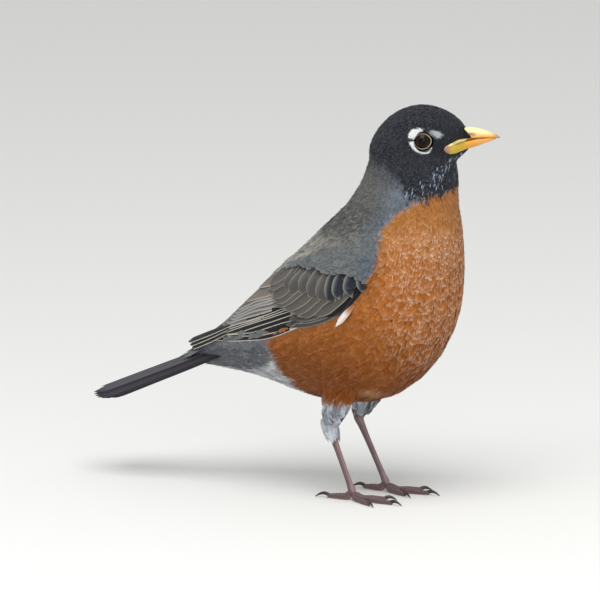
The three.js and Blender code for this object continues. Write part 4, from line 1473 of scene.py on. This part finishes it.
def lay_tail_coverts():
    """Feathers of the rump that reach out over the base of the tail, in two rows."""
    t = np.linspace(0, 1, QUILL_STEPS + 1)
    lines, ups = [], []
    for start, reach, count in TAIL_COVERT_ROWS:
        for y in np.linspace(-6.5, 6.5, count):
            x = start - reach * t
            high = 4.6 * (1 - t) ** 1.2 + 0.8 - 0.2 * abs(y) + y * math.tan(TAIL_ROLL) - start * 0.02
            line = np.stack([x, y * (1 - 0.15 * t), high], -1)
            way = np.array([[0, 0.28 * np.sign(y) * min(1, abs(y) / 2), 1]])
            lines.append(from_tail(line) + TAIL_ROOT)
            ups.append(np.repeat(from_tail(unit(way)), len(t), 0))
    lines, ups = np.array(lines), np.array(ups)
    flat = np.zeros(len(lines))
    placed = set_out(BODY_VANE, lines, ups, flat + 5, flat, flat, flat + 0.3)
    tone = rng.uniform(0.9, 1.08, len(lines))
    web = mixed(RUMP, RUMP * 1.25, ramp(BODY_VANE["plain"][:, 1], 0.85, 1.0))
    colours = web[None] * tone[:, None, None]
    spots = patches(BODY_VANE, lines[:, 0])
    join_copies("tail_coverts", BODY_VANE, placed, colours, spots, down)


lay_tail_coverts()
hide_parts("tail_right", "tail_middle")
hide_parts("tail_left")
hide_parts(*FLESH)

# %% [markdown]
# ## Bill, eyes and legs
#
# These are bare, so each is a closed surface through rings. The rings follow a smooth curve
# through a few stations, which keeps the list of sizes short and the surface fair.


# %% Surfaces through rings
def signed_volume(data):
    """Six times a mesh's volume, below 0 where its faces look inwards."""
    data.calc_loop_triangles()
    corners = np.array([[data.vertices[i].co for i in t.vertices] for t in data.loop_triangles])
    return np.einsum("ij,ij->i", corners[:, 0], np.cross(corners[:, 1], corners[:, 2])).sum()


def through_rings(name, rings, material, ring_closed=False, colours=None):
    """One closed mesh through rings of points in bird millimetres."""
    rings = np.asarray(rings, float)
    count, around = rings.shape[:2]
    mesh = bmesh.new()
    verts = [[mesh.verts.new(p) for p in to_frame(ring)] for ring in rings]
    for r in range(count if ring_closed else count - 1):
        here, there = verts[r], verts[(r + 1) % count]
        for s in range(around):
            t = (s + 1) % around
            mesh.faces.new((here[s], here[t], there[t], there[s]))
    if not ring_closed:
        for ring in (verts[0], verts[-1]):
            hub = mesh.verts.new(sum((v.co for v in ring), Vector()) / around)
            for s in range(around):
                mesh.faces.new((ring[s], ring[(s + 1) % around], hub))
    bmesh.ops.recalc_face_normals(mesh, faces=mesh.faces)
    data = bpy.data.meshes.new(name)
    mesh.to_mesh(data)
    mesh.free()
    if data.polygons and signed_volume(data) < 0:
        data.flip_normals()
    if colours is not None:
        flat = np.asarray(colours).reshape(-1, 3)
        ends = [] if ring_closed else [flat[:around].mean(0), flat[-around:].mean(0)]
        paint(data, np.vstack([flat, *ends]) if ends else flat)
    data.materials.append(material)
    piece = bpy.data.objects.new(name, data)
    bpy.context.collection.objects.link(piece)
    only(piece)
    bpy.ops.object.shade_smooth()
    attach(piece, "root")
    return piece


def joined(name, pieces):
    """Joins pieces into the first of them."""
    only(*pieces[::-1])
    bpy.ops.object.join()
    pieces[0].name = pieces[0].data.name = name


def turns(count):
    """Angles once round a ring."""
    return np.linspace(0, 2 * math.pi, count, endpoint=False)


def tube(stops, count, around, facing):
    """Rings along a curve. Each stop is x, y, z, half width across, half depth."""
    line = smooth_through(stops, count)
    ways = unit(np.gradient(line[:, :3], axis=0))
    side = unit(np.cross(np.array(facing, float), ways))
    deep = np.cross(ways, side)
    turn, wide, thick = turns(around), line[:, 3, None, None], line[:, 4, None, None]
    across = side[:, None] * np.cos(turn)[None, :, None] * wide
    return line[:, None, :3] + across + deep[:, None] * np.sin(turn)[None, :, None] * thick


# %% Horn and eye materials
horn = painted_material("bill horn", 0.38, 0.00006, 500.0)
flesh = painted_material("bare skin", 0.6, 0.0001, 1800.0)
leg_scale = painted_material("leg scales", 0.5, 0.00006, 1400.0)
claw_horn = painted_material("claw horn", 0.35)
gape_skin = painted_material("gape skin", 0.42, 0.00005, 1500.0)
eye_gloss = painted_material("eye", 0.05)
eye_gloss.node_tree.nodes["Principled BSDF"].inputs["Specular IOR Level"].default_value = 0.14

# %% [markdown]
# ### The bill
#
# Each half is a loft, in the head's own frame, of a top edge, a low edge and a half width. The
# upper half is widest near its cutting edge and the lower half near its top, so the two meet in a
# thin lip. A groove holds the nostril.

# %% Model the bill
BILL_AMBER = ink(222, 150, 52)
BILL_PALE = ink(250, 228, 170)
BILL_OLIVE = ink(190, 158, 38)
BILL_TIP = ink(128, 92, 78)
GAPE_PINK = ink(152, 112, 100)
NOSTRIL = np.array([26.3, 1.9])

# x of the top, z of the top, x of the low edge, z of the low edge, half width
UPPER = [
    [15.0, 1.0, 14.6, -5.6, 4.4],
    [18.5, 3.6, 17.8, -3.0, 4.5],
    [22.4, 4.6, 22.4, -1.2, 4.0],
    [26.2, 4.75, 26.4, -0.4, 3.3],
    [30.2, 4.0, 30.2, 0.0, 2.5],
    [34.2, 2.6, 34.4, 0.15, 1.6],
    [37.2, 1.4, 37.3, -0.1, 0.85],
    [38.6, 0.5, 38.6, -0.35, 0.4],
    [39.0, 0.05, 39.0, -0.3, 0.15],
]
LOWER = [
    [14.8, -6.2, 15.2, -8.2, 4.1],
    [18.1, -3.3, 19.6, -6.2, 4.1],
    [22.6, -1.5, 23.8, -5.2, 3.6],
    [26.5, -0.65, 27.2, -4.35, 2.9],
    [30.2, -0.25, 30.4, -3.2, 2.05],
    [34.2, -0.1, 34.0, -1.9, 1.25],
    [36.6, -0.2, 36.6, -0.95, 0.6],
    [37.4, -0.3, 37.4, -0.6, 0.2],
]


def bill_half(stations, widest):
    """Rings of one half of the bill. The widest level is a share of the way down from the top."""
    line, turn = smooth_through(stations, 40), turns(32)
    top, low = line[:, [0, 1]], line[:, [2, 3]]
    middle = top + (low - top) * widest
    high = np.cos(turn)
    arm = np.where(high[None, :, None] > 0, (top - middle)[:, None], (low - middle)[:, None])
    level = middle[:, None] + arm * np.abs(high)[None, :, None] ** 1.05
    side = np.sign(np.sin(turn)) * np.abs(np.sin(turn)) ** 0.95
    y = line[:, 4, None] * side[None]
    return np.stack([level[..., 0], y, level[..., 1]], -1)


def nostril_dent(rings):
    """Presses a slanting slit, with a soft hollow round it, into both sides."""
    off = rings[..., [0, 2]] - NOSTRIL
    along = (off[..., 0] * 0.97 - off[..., 1] * 0.22) / 2.1
    across = (off[..., 0] * 0.22 + off[..., 1] * 0.97) / 0.62
    hollow = np.exp(-((along * 0.6) ** 2) - (across * 0.5) ** 2)
    slit = np.exp(-(along**4) - across**2)
    rings[..., 1] -= np.sign(rings[..., 1]) * (0.25 * hollow + 0.45 * slit)
    return slit


def bill_colours(rings, pale, olive):
    """Amber, paler by an amount (on the upper half, a painted highlight), olive towards the root, pink
    at the mouth and dusky at the tip.
    """
    x = rings[..., 0]
    colour = mixed(BILL_AMBER, BILL_PALE, pale)
    colour = mixed(colour, BILL_OLIVE, olive * ramp(-x, -28, -20))
    colour = mixed(colour, GAPE_PINK, 0.5 * ramp(-x, -21.5, -18.5))
    colour = mixed(colour, BILL_TIP, 0.75 * ramp(x, 34.5, 38.6))
    mottle = speckle(rings.reshape(-1, 3), 2.4, 21).reshape(x.shape)
    return colour * (1 + 0.05 * mottle)[..., None]


upper_rings = bill_half(UPPER, 0.82)
slit = nostril_dent(upper_rings)
# The top of the upper half, from x 20 on, is painted pale as a highlight from above.
lit = 0.8 * ramp(upper_rings[..., 2], 0.0, 3.6) * ramp(upper_rings[..., 0], 20, 24)
# The nostril's slit is painted nearly black, as the shade inside it.
upper_colours = mixed(bill_colours(upper_rings, lit, 0.1), ink(30, 20, 16), 0.9 * slit)
lower_rings = bill_half(LOWER, 0.16)
lower_colours = bill_colours(lower_rings, 0.1 * ramp(lower_rings[..., 0], 26, 32), 0.85)
bill_upper = through_rings("bill_top", from_head(upper_rings), horn, colours=upper_colours)
bill_lower = through_rings("bill_base", from_head(lower_rings), horn, colours=lower_colours)
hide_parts("bill_upper")
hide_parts("bill_lower")


# %% The corner of the mouth
# A bare plate runs back over the face from the side of the bill. A groove in it is the line of
# the mouth, painted dark as the shade in that crease, with a thin pale lip over it: its own
# yellow, made paler as a painted highlight.
LIP_PALE = ink(240, 222, 140)
MOUTH_CREASE_SHADE = ink(70, 54, 22)
MOUTH_X, MOUTH_Z = [14.7, 17, 19.2, 22, 24.7, 26.6], [-4.2, -3.2, -2.2, -1.5, -0.95, -0.6]


def tree_of(*objects):
    """One search tree of some pieces, in bird millimetres."""
    points, faces = [], []
    for o in objects:
        start = len(points)
        points.extend(to_bird(vertex_array(o.data)).tolist())
        faces.extend([[start + i for i in p.vertices] for p in o.data.polygons])
    return BVHTree.FromPolygons(points, faces)


bill_tree = tree_of(bill_upper, bill_lower)


def face_reach(x, z, side):
    """How far out to a side the face or the bill comes, at an x and z of the head's frame."""
    start, inside = from_head([[x, side * 20, z], [x, 0, z]])
    reach = 0.0
    for tree in (surface, bill_tree):
        spot = tree.ray_cast(Vector(start), Vector(inside - start).normalized())[0]
        if spot is not None:
            reach = max(reach, to_head([spot])[0, 1] * side)
    return reach


GAPE_SUNK, GAPE_THICK = 0.12, 1.2  # mm under the face at its rim, and how deep it goes


def gape_plate(side, label):
    """The bare corner of the mouth on one side."""
    rings, colours = [], []
    for x in np.linspace(GAPE_X[0], GAPE_X[-1], 36):
        top, low = gape_edges(x)
        mouth = np.interp(x, MOUTH_X, MOUTH_Z)
        fade = ramp(-x, -26.4, -23.5)
        outer, inner, shades = [], [], []
        for v in np.linspace(0, 1, 15):
            z = top + (low - top) * v
            groove = math.exp(-(((z - mouth) / 0.2) ** 2)) * ramp(x, 15.5, 18)
            rib = 0.18 * math.exp(-(((z - (mouth + low) / 2 - 0.2) / 0.8) ** 2))
            lift = (0.5 * (1 - (2 * v - 1) ** 4) + rib) * fade - GAPE_SUNK - 0.3 * groove
            y = face_reach(x, z, side)
            outer.append([x, side * (y + lift), z])
            inner.append([x, side * (y - GAPE_THICK), z])
            # Above the mouth line the lip is painted pale: its yellow with a painted highlight.
            shade = mixed(BILL_OLIVE, LIP_PALE, 0.95 * ramp(z, mouth + 0.05, mouth + 0.3))
            shade = mixed(shade, BILL_AMBER, 0.8 * ramp(x, 21.5, 25) * ramp(mouth - z, 0.0, 0.4))
            mottle = float(speckle(np.array([[x, side, z]]), 1.3, 19)[0])
            shade = mixed(shade, GAPE_PINK * (1 + 0.3 * mottle), ramp(-x + 0.8 * mottle, -18.2, -15.8))
            # The groove is painted dark, as the shade in the crease of the mouth.
            shades.append(mixed(shade, MOUTH_CREASE_SHADE, 0.85 * groove))
        rings.append(outer + inner[::-1])
        colours.append(shades + shades[::-1])
    through_rings(f"gape_{label}", from_head(rings), gape_skin, colours=np.array(colours))


for side, label in SIDES:
    gape_plate(side, label)

# %% Feathers and bristles at the bill
# Short dark feathers point forwards over the root of the bill, as far as the nostril.
MASK = ink(30, 28, 31)
NOSE_FEATHERS, BRISTLES = 220, 7


def nose_feathers(side, label):
    """Feathers that lie forwards over the root of the bill, each at a random place."""
    lines, ups = [], []
    out = from_head([[0, side, 0.25]]) - from_head([[0, 0, 0]])
    for _ in range(NOSE_FEATHERS):
        z = rng.uniform(0.35, 5.0)
        end = 22.9 + (5.1 - z) * 0.93 + rng.normal(0, 0.15)
        end -= rng.uniform(0, max(end - 23.0, 0.2))  # rows from the root of the bill to the nostril
        start = end - rng.uniform(2.4, 3.2)
        line = []
        for t in np.linspace(0, 1, WALK + 1):
            x, height = start + (end - start) * t, z + 0.25 - 0.4 * t
            line.append([x, side * (face_reach(x, height, side) + 0.12 + 0.1 * t), height])
        lines.append(from_head(line))
        ups.append(np.repeat(unit(out), WALK + 1, 0))
    lines, ups = np.array(lines), np.array(ups)
    widths = rng.uniform(0.6, 0.9, NOSE_FEATHERS)
    flat = 0 * widths
    placed = set_out(FACE_VANE, lines, ups, widths, flat - 0.2, flat + 0.08, flat + 0.05)
    tone = rng.uniform(0.7, 1.3, NOSE_FEATHERS)[:, None, None] * np.ones((1, placed.shape[1], 1))
    spots = patches(FACE_VANE, lines[:, 0])
    join_copies(f"nose_feathers_{label}", FACE_VANE, placed, tone * MASK, spots, down)


def bristles(side, label):
    """Stiff hairs that curve forwards from over the corner of the mouth."""
    made = []
    for i in range(BRISTLES):
        x, z = 17.5 + 0.75 * i, -1.2 + 0.33 * i
        y = face_reach(x, z, side)
        reach = 4.6 - 0.25 * i
        stops = [
            [x, side * (y - 0.3), z, 0.1, 0.1],
            [x + reach * 0.35, side * (y + 0.25), z - 0.25, 0.08, 0.08],
            [x + reach * 0.7, side * (y * 0.93 + 0.35), z - 0.75, 0.06, 0.06],
            [x + reach, side * (y * 0.82 + 0.35), z - 1.35, 0.03, 0.03],
        ]
        rings = from_head(tube(stops, 10, 5, [0, 0, 1]))
        hair = np.ones((10, 5, 1)) * MASK
        made.append(through_rings("bristle", rings, claw_horn, colours=hair))
    joined(f"bristles_{label}", made)


for side, label in SIDES:
    nose_feathers(side, label)
    bristles(side, label)
print("bill, gape and bristles made")

# %% [markdown]
# ### The eyes
#
# A robin's eye is nearly black, with a dark brown iris. Lids cover all but an oval of it, and
# their bare rim is a thin pale line.

# %% Model the eyes
OPENING = np.array([3.6, 3.3])  # half width and half height between the lids
PUPIL, IRIS = 1.9, 3.1  # radii
PUPIL_BLACK, IRIS_BROWN, IRIS_RIM = ink(6, 5, 5), ink(34, 19, 13), ink(10, 8, 8)


def eye_frame(side):
    """The eye's middle, and its forward, upward and outward directions in the head's frame."""
    flip = np.array([1, side, 1])
    out = LOOK * flip
    ahead = unit(np.cross(out, [0, 0, 1.0]) * side)
    rise = np.cross(out, ahead)
    return EYE_AT * flip, ahead, rise * np.sign(rise[2]), out


def model_eye(side, label):
    """A ball with a cornea, a pupil and a rayed iris."""
    middle, ahead, rise, out = eye_frame(side)
    turn, lean = turns(48), np.linspace(0.02, math.pi - 0.02, 40)
    flat = np.cos(turn)[:, None] * ahead + np.sin(turn)[:, None] * rise
    ball = np.cos(lean)[:, None, None] * out + np.sin(lean)[:, None, None] * flat[None]
    cornea = 1 + 0.035 * ramp(np.cos(lean), 0.75, 1.0)
    rings = middle + ball * (EYE_RADIUS * cornea)[:, None, None]
    off = np.where(np.cos(lean) > 0, EYE_RADIUS * np.sin(lean), 9)[:, None] * np.ones(48)
    iris = IRIS_BROWN * (1 + 0.25 * np.sin(turn * 31)[None] * ramp(off, PUPIL, IRIS))[..., None]
    colours = mixed(PUPIL_BLACK, iris, ramp(off, PUPIL - 0.12, PUPIL + 0.12))
    colours = mixed(colours, IRIS_RIM, ramp(off, IRIS - 0.3, IRIS + 0.2))
    eye = through_rings(f"eyeball_{label}", from_head(rings), eye_gloss, colours=colours)
    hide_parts(f"eye_{label}")


LID_RIM = ink(184, 172, 132)
LID_SKIN = ink(26, 25, 27)
# Round the section of the lid: mm outside the opening, mm above the eyeball, and how pale it is.
LID_OUTSIDE = [-0.1, -0.05, 0.1, 0.26, 0.42, 0.6, 0.6]
LID_ABOVE = [-0.5, 0.1, 0.28, 0.28, 0.06, -0.4, -1.2]
LID_PALE = [0.0, 0.5, 1, 0.6, 0.0, 0.0, 0.0]


def model_lids(side, label):
    """A ring of lid: from the eyeball, over the bare rim, and down under the feathers."""
    middle, ahead, rise, out = eye_frame(side)
    turn = turns(64)
    corner = 0.22 * np.maximum(np.cos(turn) ** 12, 0)
    rings = []
    for i, angle in enumerate(turn):
        width = OPENING[0] * abs(math.cos(angle)) ** 2 + OPENING[1] * math.sin(angle) ** 2
        aim = math.cos(angle) * ahead + math.sin(angle) * rise
        ring = []
        for outside, above in zip(LID_OUTSIDE, LID_ABOVE):
            radius = width + corner[i] + outside
            ball = EYE_RADIUS + above
            ring.append(middle + aim * radius + out * math.sqrt(max(ball**2 - radius**2, 0.1)))
        rings.append(ring)
    front = 0.35 + 0.65 * ramp(np.cos(turn + 0.5), -0.5, 0.6)
    colours = mixed(LID_SKIN, LID_RIM, np.array(LID_PALE)[None] * front[:, None])
    through_rings(f"lids_{label}", from_head(rings), flesh, True, colours)


for side, label in SIDES:
    model_eye(side, label)
    model_lids(side, label)
print("eyes and lids made")

# %% [markdown]
# ### Legs
#
# A robin's shank is smooth in front, flat at its sides, and knobbed at the ankle and at the toes.
# The toes have scales on top and pads below, and a claw each. One foot's parts are made by the
# same functions for both legs.

# %% Colours and sizes of the legs
SHANK = ink(96, 74, 78)
SHANK_LIGHT = ink(150, 124, 120)
TOE = ink(84, 64, 68)
SOLE = ink(130, 106, 92)
CLAW = ink(44, 34, 34)
INSTEP = 4.2
OFF_FLOOR = 0.02
FEET = {
    "right": {"side": -1, "foot": [-1.4, 13], "ankle": [-12.7, 12.5, 30.6]},
    "left": {"side": 1, "foot": [1.4, 13], "ankle": [-12.6, 12.5, 32.6]},
}
# length, angle from straight ahead, half thickness, claw length, pads
TOES = {
    "middle": (21, 4, 1.5, 6.2, 3),
    "inner": (15, -27, 1.35, 5.4, 2),
    "outer": (16, 33, 1.3, 5.2, 2),
    "hind": (11.5, 176, 1.6, 7.4, 1),
}
# place down the shank, half width, half depth
SHANK_SIZES = [
    (-0.12, 1.5, 1.7),
    (0.0, 1.85, 2.15),
    (0.1, 1.5, 1.8),
    (0.3, 1.1, 1.5),
    (0.65, 1.05, 1.4),
    (0.88, 1.3, 1.5),
    (0.97, 1.8, 1.7),
    (1.04, 1.5, 1.4),
]


# %% Model the shanks
SHANK_RINGS, SHANK_AROUND = 60, 20


def model_shank(label, leg):
    """A shank from the ankle's knob to the root of the toes."""
    ankle, side = np.array(leg["ankle"]), leg["side"]
    foot = np.array([*leg["foot"], INSTEP])
    stops = [[*(ankle + (foot - ankle) * t) * [1, side, 1], a, d] for t, a, d in SHANK_SIZES]
    rings = tube(stops, SHANK_RINGS, SHANK_AROUND, [1, 0, 0.4])
    turn = turns(SHANK_AROUND)
    t = np.linspace(0, 1, SHANK_RINGS)
    # a few wide scutes show low on the front, where the shank meets the toes
    scute = 0.05 * np.abs(np.sin(t * math.pi * 16))[:, None] * ramp(t, 0.72, 0.9)[:, None]
    middle = rings.mean(1, keepdims=True)
    in_front = ramp(np.cos(turn - math.pi / 2), 0, 0.8)
    rings = middle + (rings - middle) * (1 + scute * in_front)[..., None]
    light = ramp(rings[..., 0] - middle[..., 0], 0.2, 1.3)
    colours = mixed(SHANK, SHANK_LIGHT, 0.6 * light)
    grain = speckle(rings.reshape(-1, 3), 2.2, 31).reshape(SHANK_RINGS, SHANK_AROUND)
    colours = colours * (1 + 0.12 * grain)[..., None]
    piece = through_rings(f"shank_skin_{label}", rings, leg_scale, colours=colours)
    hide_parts(f"shank_{label}")


# %% Model the toes and claws
def model_toe(label, leg, toe):
    """A scaled toe along +x, then turned and moved to its place."""
    length, angle, girth, claw, pads = TOES[toe]
    stops = [
        [-0.6, 0, INSTEP - 1.4, girth * 0.7, girth * 0.7],
        [length * 0.12, 0, girth + 0.9, girth, girth],
    ]
    for j in range(pads):
        along, slim = length * (0.28 + 0.66 * j / pads), girth * (1 - 0.09 * j)
        stops.append([along, 0, slim * 0.86, slim * 1.04, slim])
        stops.append([along + length * 0.33 / pads, 0, slim * 0.84, slim * 0.84, slim * 0.82])
    stops.append([length + 0.7, 0, girth * 0.66, girth * 0.5, girth * 0.55])
    count, around = 64, 16
    rings = tube(stops, count, around, [0, 0, 1])
    middle = rings.mean(1, keepdims=True)
    on_top = ramp((rings - middle)[..., 2], 0.0, girth * 0.7)
    t = np.linspace(0, 1, count)[:, None]
    scales = np.abs(np.sin(t * math.pi * length / 1.25))
    rings = middle + (rings - middle) * (1 + 0.09 * scales * on_top)[..., None]
    rings[..., 2] = np.maximum(rings[..., 2], OFF_FLOOR)
    colours = mixed(SOLE, TOE, ramp((rings - middle)[..., 2], -0.8 * girth, 0.1))
    colours = mixed(colours, SHANK_LIGHT, 0.3 * scales**6 * on_top)
    high = girth * 0.62
    claw_stops = [
        [length - 0.9, 0, high, girth * 0.45, girth * 0.5],
        [length + claw * 0.12, 0, high + claw * 0.10, 0.62, 0.86],
        [length + claw * 0.38, 0, high + claw * 0.15, 0.5, 0.74],
        [length + claw * 0.68, 0, high + claw * 0.06, 0.36, 0.5],
        [length + claw * 0.9, 0, 0.5, 0.2, 0.26],
        [length + claw, 0, 0.12, 0.06, 0.07],
    ]
    claw_rings = tube(claw_stops, 24, 12, [0, 0, 1])
    claw_rings[..., 2] = np.maximum(claw_rings[..., 2], OFF_FLOOR)
    claw_colours = np.ones((24, 12, 1)) * CLAW
    side, turn = leg["side"], math.radians(angle)

    def placed(points):
        return (spun(points, turn) + [*leg["foot"], 0]) * [1, side, 1]

    name = f"{label}_{toe}"
    toe_rings, horn_rings = placed(rings), placed(claw_rings)
    skin_piece = through_rings(f"toe_skin_{name}", toe_rings, leg_scale, False, colours)
    horn_piece = through_rings(f"claw_horn_{name}", horn_rings, claw_horn, False, claw_colours)
    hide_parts(f"toe_{name}")
    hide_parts(f"claw_{name}")


for label, leg in FEET.items():
    model_shank(label, leg)
    for toe in TOES:
        model_toe(label, leg, toe)
print("legs, toes and claws made")

# %% Feathers that hang over the right ankle
# The bird has its weight on the other leg, so this thigh's feathers hang loose, lower down.
ANKLE_FEATHERS, HANG = 54, 6.0
ankle = np.array(FEET["right"]["ankle"]) * [1, -1, 1]
turn = rng.uniform(0, 2 * math.pi, ANKLE_FEATHERS)
out = np.stack([np.cos(turn), np.sin(turn), 0 * turn], -1)
fall = rng.uniform(0.35, 1.0, ANKLE_FEATHERS)[:, None]
start = ankle + out * [3.6, 3.2, 0] + [-0.3, 0, 1] * (3.5 + 3 * (1 - fall))
end = ankle + out * [2.5, 2.3, 0] * (1.25 - 0.35 * fall) + [0.3, 0, -1] * (HANG * fall - 0.5)
t = np.linspace(0, 1, WALK + 1)[None, :, None]
bow = out[:, None] * 0.9 * np.sin(math.pi * t)
lines = start[:, None] * (1 - t) + end[:, None] * t + bow
ups = np.repeat(out[:, None], WALK + 1, 1)
widths = rng.uniform(1.8, 2.6, ANKLE_FEATHERS)
flat = 0 * widths
placed = set_out(BODY_VANE, lines, ups, widths, flat - 0.2, flat + 0.1, flat + 0.1)
tone = rng.uniform(0, 1, ANKLE_FEATHERS)[:, None]
hanging = mixed(THIGH, THIGH_DARK, 0.7 * ramp(tone[:, 0], 0.55, 0.95)) * (0.92 + 0.16 * tone)
colours = np.repeat(hanging[:, None], placed.shape[1], 1)
spots = patches(BODY_VANE, lines[:, 0])
join_copies("ankle_feathers_right", BODY_VANE, placed, colours, spots, down)

# %% Floor and light
bpy.ops.mesh.primitive_plane_add(size=6, location=(0, 0, 0))
floor = bpy.context.object
floor.name = "floor"
floor_material, floor_shader, add, links = new_material("pale floor", 0.85)
floor_shader.inputs["Base Color"].default_value = (0.72, 0.72, 0.7, 1)
floor.data.materials.append(floor_material)

world = bpy.data.worlds.new("studio")
world.use_nodes = True
world.node_tree.nodes["Background"].inputs[0].default_value = (0.9, 0.91, 0.92, 1)
world.node_tree.nodes["Background"].inputs[1].default_value = 0.75
bpy.context.scene.world = world


def soft_light(name, place, aim, size, power):
    """A square lamp, in metres and watts."""
    bpy.ops.object.light_add(type="AREA", location=place)
    lamp = bpy.context.object
    lamp.name = name
    lamp.data.size = size
    lamp.data.energy = power
    lamp.rotation_euler = (Vector(aim) - Vector(place)).to_track_quat("-Z", "Y").to_euler()


MIDDLE_OF_BIRD = (0, 0, 0.09)
soft_light("sky", (0.3, -0.7, 1.5), MIDDLE_OF_BIRD, 1.2, 22)
soft_light("front", (1.1, -1.2, 0.6), MIDDLE_OF_BIRD, 0.9, 6)
bpy.context.scene.view_settings.view_transform = "Standard"
